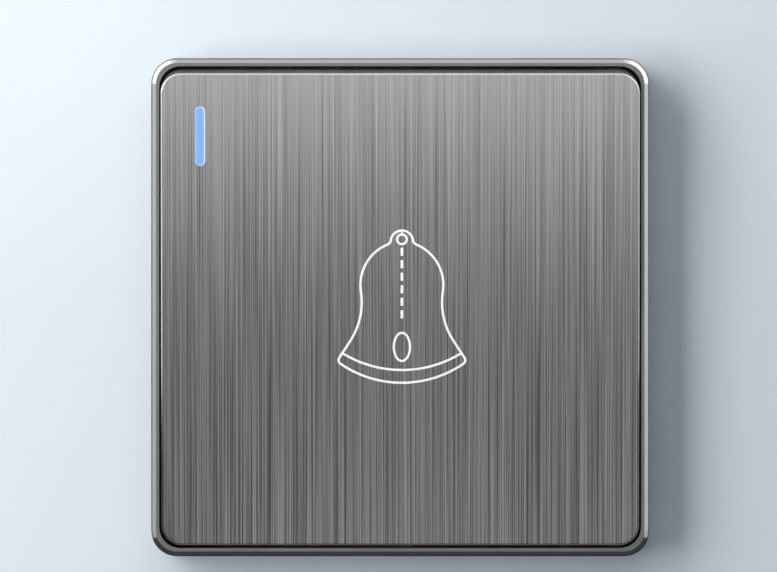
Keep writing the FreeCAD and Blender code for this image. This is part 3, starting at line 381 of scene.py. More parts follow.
def bar_rim_group():
    """How far a point is from the middle line of an upright bar with round ends, and on which side."""
    inputs = {"Centre": ORIGIN, "Radius": 0.001, "Straight": 0.004}
    tree, where, given, leave = new_group("Bar Rim", inputs, ("From Middle", "Side"))
    local = vector_maths(tree, "SUBTRACT", where, given["Centre"])
    side = part_of(tree, local, "X")
    past = maths(tree, "SUBTRACT", maths(tree, "ABSOLUTE", part_of(tree, local, "Z")), given["Straight"])
    flat = put(tree, "CombineXYZ", {"X": side, "Y": 0.0, "Z": maths(tree, "MAXIMUM", past, 0.0)})
    length = vector_maths(tree, "LENGTH", flat.outputs[0])
    connect(tree, leave, {
        "From Middle": maths(tree, "DIVIDE", length, given["Radius"]),
        "Side": maths(tree, "DIVIDE", side, given["Radius"]),
    })


def make_groups():
    """The effects that several finishes share."""
    brush_lines_group()
    moulded_grain_group()
    edge_wear_group()
    handling_group()
    settled_dust_group()
    metal_plating_group()
    bar_rim_group()


# Finishes


def empty_tree(owner, output):
    """Clears the nodes of a material or a world: (tree, its new output node)."""
    owner.use_nodes = True
    tree = owner.node_tree
    tree.nodes.clear()
    end = tree.nodes.new("ShaderNodeOutput" + output)
    end.location = (1900, 0)
    return tree, end


def new_finish(name):
    """An empty finish: (material, tree, shader, object coordinates)."""
    material = bpy.data.materials.new(name)
    tree, output = empty_tree(material, "Material")
    shader = tree.nodes.new("ShaderNodeBsdfPrincipled")
    shader.location = (1600, 0)
    tree.links.new(shader.outputs["BSDF"], output.inputs["Surface"])
    where = tree.nodes.new("ShaderNodeTexCoord")
    where.location = (-700, 0)
    return material, tree, shader, where.outputs["Object"]


def normal_of(tree):
    """The object's own normal."""
    return put(tree, "TexCoord").outputs["Normal"]


def relief(tree, shader, height, distance, strength=1.0):
    """Gives the surface a fine relief, from a height between 0 and 1."""
    bump = put(tree, "Bump", {"Height": height, "Distance": distance, "Strength": strength})
    tree.links.new(bump.outputs["Normal"], shader.inputs["Normal"])


def moulded_grain(tree, where, size, flow):
    """The height and cloud of a moulded surface."""
    return place(tree, "Moulded Grain", {"Vector": where, "Grain Size": size, "Flow": flow})


def handling(tree, where, size):
    """The smudges and specks of a handled surface."""
    return place(tree, "Handling", {"Vector": where, "Size": size})


def worn_edges(tree, where, node, width):
    """Mask of the rubbed outer edges of a node's box."""
    low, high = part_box(node)
    return place(tree, "Edge Wear", {
        "Vector": where, "Centre": (low + high) / 2, "Half Size": (high - low) / 2,
        "Width": width, "Breakup": 0.7,
    })["Mask"]


def settled_dust(tree, where, amount):
    """Mask of the dust on what faces up."""
    return place(tree, "Settled Dust", {"Vector": where, "Normal": normal_of(tree), "Amount": amount})["Mask"]


def brushed_metal(settings):
    """Upright brushed metal with a bright cut bevel; its brush lines are painted fainter towards the top, a
    painted stand-in for the bright reflection there washing them out.
    """
    material, tree, shader, where = new_finish("brushed_face")
    # Painted sheen: the lines' contrast is painted lower towards the top, where the bright reflection would wash
    # them out.
    strength = spread(
        tree, part_of(tree, where, "Z"), 0.0, 0.038, settings.contrast, settings.contrast * 0.3,
    )
    lines = place(tree, "Brush Lines", {
        "Vector": where, "Line Width": settings.line_width,
        "Line Length": settings.line_length, "Contrast": strength,
    })
    metal = toned(tree, lines["Shade"], settings.metal, 0.4, 1.6)
    facing = vector_maths(tree, "DOT_PRODUCT", normal_of(tree), FACE_NORMAL)
    forward = vector_maths(tree, "DOT_PRODUCT", where, FACE_NORMAL)
    sloped = spread(tree, facing, 0.90, 0.97, 1.0, 0.0)
    outer = spread(tree, forward, FACE_FORWARD - 0.00017, FACE_FORWARD - 0.00010, 1.0, 0.0)
    edge = product(tree, sloped, outer)
    rough = spread(tree, lines["Shade"], 0.0, 1.0, 0.40, 0.32)
    smudge = handling(tree, where, 0.03)["Smudge"]
    connect(tree, shader, {
        "Base Color": blended(tree, edge, metal, settings.cut_metal),
        "Roughness": maths(tree, "MULTIPLY_ADD", smudge, 0.03, rough),
        "Metallic": maths(tree, "MULTIPLY_ADD", edge, -0.25, 1.0),
        "Anisotropic": 0.85,
        "Tangent": put(tree, "CombineXYZ", {"X": 1.0, "Y": 0.0, "Z": 0.0}).outputs[0],
    })
    relief(tree, shader, lines["Height"], 0.00002, 0.6)
    return material


def enamel(settings):
    """White paint that fills the engraved bell."""
    material, tree, shader, where = new_finish("symbol_paint")
    grain = moulded_grain(tree, where, 0.00025, 1.0)
    connect(tree, shader, {
        "Base Color": toned(tree, grain["Cloud"], settings.paint, 0.96, 1.03),
        "Roughness": spread(tree, grain["Cloud"], 0.3, 0.7, 0.34, 0.46),
    })
    relief(tree, shader, grain["Height"], 0.00001)
    return material


def lacquer(name, colour, node, rim=None):
    """Satin metallic lacquer: fine flake, rubbed corners and dust on top.

    With a rim colour it also has a polished bevel, and outside that a thin line of painted shade.
    """
    flat_metallic, rim_roughness = 0.4, 0.15
    material, tree, shader, where = new_finish(name)
    flake = put(tree, "TexVoronoi", {"Vector": where, "Scale": 9000.0})
    spark = put(tree, "SeparateColor", {0: flake.outputs["Color"]}).outputs[0]
    grain = moulded_grain(tree, where, 0.0004, 1.2)
    base = toned(tree, spark, colour, 0.86, 1.14)
    worn = worn_edges(tree, where, node, 0.0009)
    dust = settled_dust(tree, where, 0.15)
    rough = spread(tree, grain["Cloud"], 0.3, 0.7, 0.30, 0.42)
    metallic = flat_metallic
    if rim:
        facing = product(tree, part_of(tree, normal_of(tree), "Y"), -1.0)
        slope = band(tree, facing, 0.70, 0.76, 0.86, 0.93)
        # Painted shade: a thin dark line painted at the outer edge of the rim bevel, where the frame meets its
        # side.
        line = band(tree, part_of(tree, where, "Y"), -0.01015, -0.01008, -0.0099, -0.0096)
        elsewhere = maths(tree, "SUBTRACT", 1.0, slope)
        worn = product(tree, worn, elsewhere)
        dust = product(tree, dust, elsewhere)
        base = blended(tree, slope, base, rim)
        base = blended(tree, line, base, (0.04, 0.041, 0.043))
        rough = maths(tree, "MULTIPLY_ADD", slope, maths(tree, "SUBTRACT", rim_roughness, rough), rough)
        metallic = maths(tree, "MULTIPLY_ADD", slope, 1.0 - flat_metallic, flat_metallic)
    base = blended(tree, product(tree, worn, 0.35), base, (0.55, 0.55, 0.54))
    connect(tree, shader, {
        "Base Color": blended(tree, dust, base, (0.50, 0.49, 0.46)),
        "Roughness": maths(tree, "MULTIPLY_ADD", dust, 0.3, rough),
        "Metallic": maths(tree, "SUBTRACT", metallic, dust, clamp=True),
    })
    relief(tree, shader, grain["Height"], 0.000006)
    return material


def moulding(name, colour, node, roughness=0.42, grain_size=0.0003):
    """Injection-moulded plastic with a spark-eroded grain, flow clouding and rubbed edges."""
    material, tree, shader, where = new_finish(name)
    grain = moulded_grain(tree, where, grain_size, 0.5)
    hands = handling(tree, where, 0.012)
    colour = Vector(colour)
    lighter = colour.lerp(WHITE, 0.25)
    worn = worn_edges(tree, where, node, 0.0008)
    base = toned(tree, grain["Cloud"], colour, 0.93, 1.04)
    base = blended(tree, product(tree, hands["Speck"], 0.25), base, colour * 0.6)
    base = blended(tree, product(tree, worn, 0.5), base, lighter)
    rough = spread(tree, hands["Smudge"], 0.0, 1.0, roughness, roughness + 0.12)
    connect(tree, shader, {
        "Base Color": blended(tree, settled_dust(tree, where, 0.3), base, (0.52, 0.50, 0.46)),
        "Roughness": maths(tree, "MULTIPLY_ADD", worn, -0.1, rough),
    })
    relief(tree, shader, grain["Height"], 0.00002)
    return material


def plated(name, colour, shade, node, roughness=0.3, cell=0.0015):
    """Plated or rolled metal with a clouded tone, fine rolling lines and bright edges."""
    material, tree, shader, where = new_finish(name)
    plating = place(tree, "Metal Plating", {"Vector": where, "Cell Size": cell})
    base = blended(tree, spread(tree, plating["Tone"], 0.3, 0.7), shade, colour)
    worn = product(tree, worn_edges(tree, where, node, 0.0004), 0.6)
    smudge = handling(tree, where, 0.008)["Smudge"]
    connect(tree, shader, {
        "Base Color": blended(tree, worn, base, Vector(colour).lerp(WHITE, 0.2)),
        "Roughness": spread(tree, smudge, 0.0, 1.0, roughness - 0.05, roughness + 0.12),
        "Metallic": 1.0,
    })
    relief(tree, shader, plating["Height"], 0.000006)
    return material


def mix_shaders(tree, share, first, second, output):
    """Ends a material or the world in a mix of two shaders."""
    mix = put(tree, "MixShader", {0: share, 1: first.outputs[0], 2: second.outputs[0]})
    tree.links.new(mix.outputs[0], output.inputs["Surface"])


def shown_rays(tree):
    """1 for what the camera sees, straight, in a shiny surface or through glass."""
    rays = put(tree, "LightPath").outputs
    seen = maths(tree, "MAXIMUM", rays["Is Camera Ray"], rays["Is Glossy Ray"])
    return maths(tree, "MAXIMUM", seen, rays["Is Transmission Ray"])


def finish(node, material):
    """Gives a node of the frame its finish."""
    NODES[node].data.materials[0] = material


# Modelling


def clear_selection():
    """Leaves edit mode, with nothing selected."""
    if bpy.context.object and bpy.context.object.mode != "OBJECT":
        bpy.ops.object.mode_set(mode="OBJECT")
    bpy.ops.object.select_all(action="DESELECT")


def select_only(thing):
    """Selects one object and makes it the active one."""
    clear_selection()
    thing.select_set(True)
    bpy.context.view_layer.objects.active = thing


def settle(thing, name, angle=35.0):
    """Names a finished piece, puts its place into its mesh and smooths its shading."""
    select_only(thing)
    thing.name = name
    thing.data.name = name
    bpy.ops.object.transform_apply()
    bpy.ops.object.shade_smooth_by_angle(angle=math.radians(angle))
    return thing


@contextlib.contextmanager
def editing(thing, kind="EDGE", chosen=None):
    """Edit mode, with all of a piece selected or only the edges or faces whose corners all pass a test."""
    select_only(thing)
    bpy.ops.object.mode_set(mode="EDIT")
    bpy.ops.mesh.select_mode(type=kind)
    bpy.ops.mesh.select_all(action="DESELECT" if chosen else "SELECT")
    if chosen:
        bpy.ops.object.mode_set(mode="OBJECT")
        mesh = thing.data
        passed = [chosen(corner.co) for corner in mesh.vertices]
        for part in mesh.edges if kind == "EDGE" else mesh.polygons:
            part.select = all(passed[index] for index in part.vertices)
        bpy.ops.object.mode_set(mode="EDIT")
    yield
    bpy.ops.object.mode_set(mode="OBJECT")


def outward(thing):
    """Merges doubled corners and turns all faces outwards."""
    with editing(thing):
        bpy.ops.mesh.remove_doubles(threshold=SAME_CORNER)
        bpy.ops.mesh.normals_make_consistent(inside=False)


def apply_all(thing):
    """Applies every modifier of a piece."""
    select_only(thing)
    for modifier in list(thing.modifiers):
        bpy.ops.object.modifier_apply(modifier=modifier.name)


def join(things):
    """Joins pieces into the first of them."""
    select_only(things[0])
    for thing in things[1:]:
        thing.select_set(True)
    bpy.ops.object.join()
    return things[0]


def combine(thing, other, operation):
    """Cuts another piece out of one, or makes one closed skin of both, and removes the other."""
    joint = thing.modifiers.new("combine", "BOOLEAN")
    joint.operation, joint.solver, joint.object = operation, "EXACT", other
    apply_all(thing)
    bpy.data.objects.remove(other)


def winding(corners, section, radius, turns, rise, turned, height, steps):
    """A section swept round Z as it climbs, from the angle of the turns before it and a given height."""
    angle = 2 * math.pi * turned
    start = (radius * math.cos(angle), radius * math.sin(angle), height)
    clear_selection()
    bpy.ops.mesh.primitive_circle_add(
        vertices=corners, radius=section, location=start, rotation=(math.pi / 2, 0, angle), fill_type="NOTHING",
    )
    wound = bpy.context.object
    bpy.ops.object.transform_apply()
    sweep = wound.modifiers.new("sweep", "SCREW")
    sweep.axis, sweep.angle, sweep.screw_offset = "Z", 2 * math.pi * turns, rise
    sweep.steps = sweep.render_steps = round(steps * turns)
    apply_all(wound)
    return wound


def close_ends(thing):
    """Fills the open ends of a swept piece."""
    with editing(thing):
        bpy.ops.mesh.remove_doubles(threshold=SAME_CORNER)
        bpy.ops.mesh.select_all(action="DESELECT")
        bpy.ops.mesh.select_non_manifold(extend=False)
        bpy.ops.mesh.fill_holes(sides=0)
    outward(thing)


def copied(thing, name, place, turn):
    """A copy with its own mesh, at its place."""
    select_only(thing)
    bpy.ops.object.duplicate(linked=False)
    copy = bpy.context.object
    copy.location, copy.rotation_euler = place, turn
    return settle(copy, name)


# Operators


class OBJECT_OT_push_stage(Operator):
    """Wall, floor, lamps and camera"""
    bl_idname = "object.push_stage"
    bl_label = "Studio"

    def execute(self, context):
        studio = context.scene.push_studio
        self.add_wall(studio)
        self.add_floor()
        self.add_cards()
        self.add_lamps(studio)
        self.add_world(studio)
        self.add_camera(studio)
        context.scene.view_settings.view_transform = "Standard"
        return {"FINISHED"}

    def add_wall(self, studio):
        """A wall that can be seen from the front only, so that the back of the plate shows. Its colour holds
        painted light: lighter towards the upper left and the top, darker towards the lower right.
        """
        size, forward = 3.0, 0.0001
        painted_shade_towards, painted_light_reach = (0.92, 0.0, -0.39), 0.07
        clear_selection()
        bpy.ops.mesh.primitive_plane_add(size=size, location=(0, -forward, 0), rotation=UPRIGHT)
        wall = settle(bpy.context.object, "wall")
        material, tree, shader, where = new_finish("wall_paint")
        # Painted light: the wall's colour is painted lighter towards the upper left and darker towards the lower
        # right, standing in for the key lamp's falloff.
        painted_shade_slant = vector_maths(tree, "DOT_PRODUCT", where, painted_shade_towards)
        across = spread(tree, painted_shade_slant, -painted_light_reach, painted_light_reach)
        graded = toned(tree, across, studio.wall, 1.10, 0.88)
        # Painted light: the wall's upper part is painted a little lighter, as if lit from above.
        upper = spread(tree, part_of(tree, where, "Z"), 0.0, 0.05)
        graded = blended(tree, upper, graded, (1.09, 1.09, 1.09), "MULTIPLY")
        speckle = blended(tree, noise(tree, where, 60.0, 3.0, 0.5), (0.99, 0.99, 0.99), WHITE)
        connect(tree, shader, {
            "Base Color": blended(tree, 1.0, graded, speckle, "MULTIPLY"),
            "Roughness": 0.9, "Specular IOR Level": 0.1,
        })
        behind = put(tree, "NewGeometry").outputs["Backfacing"]
        mix_shaders(tree, behind, shader, put(tree, "BsdfTransparent"), tree.nodes["Material Output"])
        wall.data.materials.append(material)

    def add_floor(self):
        """A pale floor well below the plate, paler still where the camera sees it."""
        size, height, paleness = 30.0, -0.9, 0.8
        clear_selection()
        bpy.ops.mesh.primitive_plane_add(size=size, location=(0, 0, height))
        floor = settle(bpy.context.object, "floor")
        material, tree, shader, where = new_finish("floor_paint")
        texture = noise(tree, where, 20.0, 3.0, 0.5)
        tone = blended(tree, texture, (0.77, 0.81, 0.85), (0.79, 0.83, 0.87))
        connect(tree, shader, {"Base Color": tone, "Roughness": 0.8})
        pale = put(tree, "Emission", {"Color": opaque((0.80, 0.85, 0.90))})
        share = product(tree, shown_rays(tree), paleness)
        mix_shaders(tree, share, shader, pale, tree.nodes["Material Output"])
        floor.data.materials.append(material)

    def add_card(self, name, place, size, turn, level, rise=0.0, foot=0.0, tint=WHITE):
        """A card that only shiny surfaces see, which can get brighter towards its top and its foot."""
        rise_from, rise_to, rise_power = -0.036, 0.045, 2.3
        foot_from, foot_to = -0.045, -0.085
        clear_selection()
        bpy.ops.mesh.primitive_plane_add(size=1.0, location=place, rotation=turn)
        card = bpy.context.object
        card.scale = (*size, 1.0)
        settle(card, name)
        material = bpy.data.materials.new(name)
        tree, output = empty_tree(material, "Material")
        height = part_of(tree, put(tree, "TexCoord").outputs["Object"], "Z")
        upper = maths(tree, "POWER", spread(tree, height, rise_from, rise_to), rise_power)
        lower = spread(tree, height, foot_from, foot_to)
        total = maths(tree, "MULTIPLY_ADD", upper, rise, maths(tree, "MULTIPLY_ADD", lower, foot, level))
        light = put(tree, "Emission", {"Color": opaque(tint), "Strength": total})
        tree.links.new(light.outputs[0], output.inputs["Surface"])
        card.data.materials.append(material)
        card.visible_camera = card.visible_diffuse = card.visible_shadow = False
        card.visible_transmission = card.visible_volume_scatter = False

    def add_cards(self):
        """A graded card in front, which the brushed face reflects, and a dark one below."""
        lying = (0, 0, 0)
        self.add_card("front_card", (0, -0.2, -0.04), (1.2, 0.16), UPRIGHT, level=0.32, rise=2.6, foot=0.16)
        self.add_card("black_card", (0, -0.031, -0.07), (0.27, 0.038), lying, level=0.08, tint=(0.92, 1.0, 1.12))

    def add_lamp(self, name, place, target, size, power, colour=WHITE):
        """A soft lamp with a rectangular face, aimed at a point."""
        clear_selection()
        bpy.ops.object.light_add(type="AREA", location=place)
        lamp = bpy.context.object
        lamp.name = name
        lamp.data.shape = "RECTANGLE"
        lamp.data.size, lamp.data.size_y = size
        lamp.data.energy = power
        lamp.data.color = colour
        lamp.rotation_euler = (Vector(target) - Vector(place)).to_track_quat("-Z", "Y").to_euler()
        lamp.visible_camera = False

    def add_lamps(self, studio):
        """The key lamp at the upper left, one above, and one behind the wall for the back of the plate."""
        rear_power = 3.2
        self.add_lamp("key_lamp", (-0.56, -0.58, 0.2), ORIGIN, (0.48, 1.0), studio.key_power, (1.0, 0.99, 0.97))
        self.add_lamp("top_lamp", (0.05, -0.5, 0.35), (0, -0.01, 0), (0.4, 0.3), studio.top_power)
        self.add_lamp("rear_lamp", (0.25, 0.5, 0.3), (0, 0.01, 0), (0.3, 0.3), rear_power)

    def add_world(self, studio):
        """Light from all round, brighter from above, and pale where the camera sees it.

        Shiny surfaces see it paler to the right, brighter in its upper corners for the rim,
        and with a bright strip at the right for the bevel of the face.
        """
        ambient_gain, corner_level, strip_level = 1.6, 2.3, 3.4
        world = bpy.data.worlds.new("studio")
        bpy.context.scene.world = world
        tree, output = empty_tree(world, "World")
        way = put(tree, "SeparateXYZ", {0: put(tree, "TexCoord").outputs["Generated"]}).outputs
        shade = spread(tree, way["Z"], -0.6, 0.6, 0.25, 1.0)
        colour = blended(tree, shade, ORIGIN, (0.91, 0.96, 1.02))
        lit = put(tree, "Background", {"Color": colour, "Strength": studio.ambient * ambient_gain})

        sides = toned(tree, spread(tree, way["X"], -0.9, 0.9), PALE, 0.95, 1.1)
        strip = product(tree, spread(tree, way["X"], 0.5, 0.8), spread(tree, way["Y"], -0.16, -0.10))
        sides = blended(tree, strip, sides, (strip_level,) * 3)
        sideways = spread(tree, maths(tree, "ABSOLUTE", way["X"]), 0.05, 0.4)
        upward = spread(tree, way["Z"], 0.05, 0.14)
        corner = product(tree, sideways, upward, spread(tree, way["Y"], -0.6, -0.45))
        shiny = blended(tree, corner, sides, (corner_level,) * 3)
        shown = blended(tree, put(tree, "LightPath").outputs["Is Glossy Ray"], PALE, shiny)
        backdrop = put(tree, "Background", {"Color": shown})
        mix_shaders(tree, shown_rays(tree), lit, backdrop, output)

    def add_camera(self, studio):
        """The photograph's straight view, with the plate a little right of and below the middle."""
        low, high = CAD_BOX
        rim = low[1] + RIM_BEHIND_BUTTON
        pixel = (high[0] - low[0]) / studio.plate_pixels
        clear_selection()
        place = (-PLATE_RIGHT * pixel, -studio.distance, PLATE_DOWN * pixel)
        bpy.ops.object.camera_add(location=place, rotation=UPRIGHT)
        camera = bpy.context.object
        camera.name = "photo_camera"
        camera.data.lens = (studio.distance + rim) * camera.data.sensor_width / (PICTURE_WIDTH * pixel)
        camera.data.clip_start = 0.01
        bpy.context.scene.camera = camera


class OBJECT_OT_push_face(Operator):
    """Brushed face and the paint of the engraved bell"""
    bl_idname = "object.push_face"
    bl_label = "Brushed Face"

    def execute(self, context):
        settings = context.scene.push_face
        finish("button_skin", brushed_metal(settings))
        finish("bell_symbol", enamel(settings))
        return {"FINISHED"}


class OBJECT_OT_push_frame(Operator):
    """Lacquered frame and the body of the button"""
    bl_idname = "object.push_frame"
    bl_label = "Frame and Button Body"

    def execute(self, context):
        settings = context.scene.push_frame
        finish("trim_frame", lacquer("frame_lacquer", settings.lacquer, "trim_frame", settings.rim))
        finish("button_carrier", lacquer("button_plastic", settings.button, "button_carrier"))
        return {"FINISHED"}


class OBJECT_OT_push_lens(Operator):
    """Lit indicator bar, with a painted highlight round its rim"""
    bl_idname = "object.push_lens"
    bl_label = "Indicator Bar"

    def execute(self, context):
        settings = context.scene.push_lens
        radius, straight, drop = 0.000835, 0.00426, 0.00019
        middle = centre_of("indicator_lens")
        middle.z -= drop
        material, tree, shader, where = new_finish("lens_blue")
        bar = place(tree, "Bar Rim", {"Vector": where, "Centre": middle, "Radius": radius, "Straight": straight})
        # Painted highlight: the rim of the bar is painted near white in its glow and lighter in its colour,
        # brighter on its right side.
        edge = spread(tree, bar["From Middle"], 0.72, 0.98)
        rim = product(tree, edge, spread(tree, bar["Side"], -0.4, 0.9, 0.35, 1.0))
        cloud = noise(tree, where, 500.0, 3.0, 0.5)
        glow = Vector(settings.glow)
        deep = toned(tree, cloud, glow, 0.97, 1.03)
        connect(tree, shader, {
            "Base Color": blended(tree, rim, glow * 0.12, (0.25, 0.27, 0.3)),
            "Emission Color": blended(tree, rim, deep, (0.85, 0.90, 0.95)),
            "Emission Strength": settings.level,
            "Roughness": spread(tree, cloud, 0.3, 0.7, 0.22, 0.34),
            "Coat Weight": 0.3,
        })
        relief(tree, shader, cloud, 0.00001)
        finish("indicator_lens", material)
        return {"FINISHED"}


class OBJECT_OT_push_yoke(Operator):
    """Zinc-plated yoke"""
    bl_idname = "object.push_yoke"
    bl_label = "Yoke"

    def execute(self, context):
        zinc = plated("zinc_steel", (0.66, 0.67, 0.66), (0.50, 0.52, 0.54), "mounting_yoke", 0.34)
        finish("mounting_yoke", zinc)
        return {"FINISHED"}


class OBJECT_OT_push_module(Operator):
    """Switch housing, cover, lever and plunger"""
    bl_idname = "object.push_module"
    bl_label = "Switch Module"

    def execute(self, context):
        settings = context.scene.push_module
        finish("module_housing", moulding("housing_plastic", settings.moulding, "module_housing"))
        finish("module_cover", moulding("cover_plastic", settings.moulding, "module_cover"))
        finish("lamp_holder", moulding("holder_plastic", settings.moulding, "lamp_holder"))
        finish("rocker_lever", moulding("lever_plastic", settings.mechanism, "rocker_lever", 0.36))
        finish("plunger", moulding("plunger_plastic", settings.mechanism, "plunger", 0.34))
        return {"FINISHED"}


class OBJECT_OT_push_contacts(Operator):
    """Brass strips and blocks, and silver contacts"""
    bl_idname = "object.push_contacts"
    bl_label = "Contacts and Terminals"

    def execute(self, context):
        brass, tarnish = (0.80, 0.60, 0.28), (0.62, 0.42, 0.18)
        silver, dull_silver = (0.88, 0.88, 0.86), (0.70, 0.69, 0.66)
        for node in (
            "contact_strip_left", "contact_strip_right", "terminal_block_left", "terminal_block_right",
            "contact_bridge",
        ):
            finish(node, plated(node + "_brass", brass, tarnish, node, 0.28, 0.003))
        for node in ("bridge_rivets", "fixed_rivets"):
            finish(node, plated(node + "_silver", silver, dull_silver, node, 0.22, 0.001))
        return {"FINISHED"}


class OBJECT_OT_push_lamp(Operator):
    """Lamp board, lamp, resistor and the two wires"""
    bl_idname = "object.push_lamp"
    bl_label = "Indicator Lamp"

    def execute(self, context):
        finish("lamp_board", self.board())
        finish("lamp_led", moulding("lamp_resin", (0.88, 0.86, 0.70), "lamp_led", 0.2, 0.0002))
        finish("lamp_resistor", self.banded())
        finish("lamp_wire_left", self.insulation("wire_black", (0.030, 0.030, 0.032)))
        finish("lamp_wire_right", self.insulation("wire_red", (0.50, 0.035, 0.03)))
        return {"FINISHED"}

    def board(self):
        """Green solder mask with tracks under it."""
        material, tree, shader, where = new_finish("board_green")
        wave = put(tree, "TexWave", {"Vector": where, "Scale": 330.0, "Distortion": 2.0})
        tracks = spread(tree, wave.outputs["Fac"], 0.45, 0.55)
        connect(tree, shader, {
            "Base Color": blended(tree, tracks, (0.02, 0.14, 0.06), (0.04, 0.24, 0.10)),
            "Roughness": spread(tree, noise(tree, where, 800.0), 0.3, 0.7, 0.25, 0.4),
        })
        relief(tree, shader, tracks, 0.00003)
        return material

    def banded(self):
        """Tan lacquer with coloured value bands across the body."""
        half_band = 0.00014
        bands = ((-0.0009, (0.25, 0.08, 0.02)), (-0.0003, (0.02, 0.02, 0.02)), (0.0003, (0.5, 0.05, 0.03)))
        material, tree, shader, where = new_finish("resistor_tan")
        along = maths(tree, "SUBTRACT", part_of(tree, where, "X"), centre_of("lamp_resistor")[0])
        base = blended(tree, noise(tree, where, 2500.0), (0.56, 0.42, 0.25), (0.66, 0.51, 0.32))
        for offset, colour in bands:
            near = maths(tree, "ABSOLUTE", maths(tree, "SUBTRACT", along, offset))
            base = blended(tree, maths(tree, "LESS_THAN", near, half_band), base, colour)
        connect(tree, shader, {
            "Base Color": base,
            "Roughness": spread(tree, noise(tree, where, 900.0), 0.3, 0.7, 0.3, 0.45),
        })
        relief(tree, shader, noise(tree, where, 3000.0), 0.00001)
        return material

    def insulation(self, name, colour):
        """Soft plastic insulation, dulled where it was handled."""
        material, tree, shader, where = new_finish(name)
        grain = moulded_grain(tree, where, 0.0002, 1.5)
        connect(tree, shader, {
            "Base Color": toned(tree, handling(tree, where, 0.004)["Smudge"], colour, 1.0, 1.5),
            "Roughness": spread(tree, grain["Cloud"], 0.3, 0.7, 0.38, 0.55),
        })
        relief(tree, shader, grain["Height"], 0.00002)
        return material


class OBJECT_OT_push_springs(Operator):
    """Return spring and contact spring, with closed and ground ends"""
    bl_idname = "object.push_springs"
    bl_label = "Springs"

    def execute(self, context):
        settings = context.scene.push_springs
        back = self.spring(
            "return_coil", "return_spring", settings.return_wire, settings.return_turns, settings.steps,
        )
        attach(back, "base")
        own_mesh(back)
        front = self.spring(
            "contact_coil", "contact_spring", settings.contact_wire, settings.contact_turns, settings.steps,
        )
        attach(front, "plunger")
        return {"FINISHED"}

    def spring(self, name, node, wire, turns, steps):
        """A coil in the space of a node: a closed turn at each end, ground flat, and open turns between."""
        section_corners, closed_pitch, ground_off, cut_margin = 12, 1.02, 0.12, 0.0000001
        low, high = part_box(node)
        length = high[1] - low[1]
        radius = (high[0] - low[0] - wire) / 2
        closed, sunk = wire * closed_pitch, wire * ground_off
        rise = length - 2 * sunk - 2 * closed
        coil = join([
            winding(section_corners, wire / 2, radius, 1, closed, 0, sunk, steps),
            winding(section_corners, wire / 2, radius, turns, rise, 0, sunk + closed, steps),
            winding(section_corners, wire / 2, radius, 1, closed, turns, sunk + closed + rise, steps),
        ])
        close_ends(coil)
        for height, outside in ((0.0, (0, 0, -1)), (length, (0, 0, 1))):
            with editing(coil):
                bpy.ops.mesh.bisect(
                    plane_co=(0, 0, height), plane_no=outside, use_fill=True, clear_outer=True,
                    threshold=cut_margin,
                )
        outward(coil)
        middle = centre_of(node)
        coil.location, coil.rotation_euler = (middle[0], low[1], middle[2]), (-math.pi / 2, 0, 0)
        settle(coil, name, 40.0)
        steel = plated(name + "_steel", (0.56, 0.57, 0.58), (0.40, 0.41, 0.43), node, 0.24, 0.0008)
        coil.data.materials.append(steel)
        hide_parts(node)
        return coil


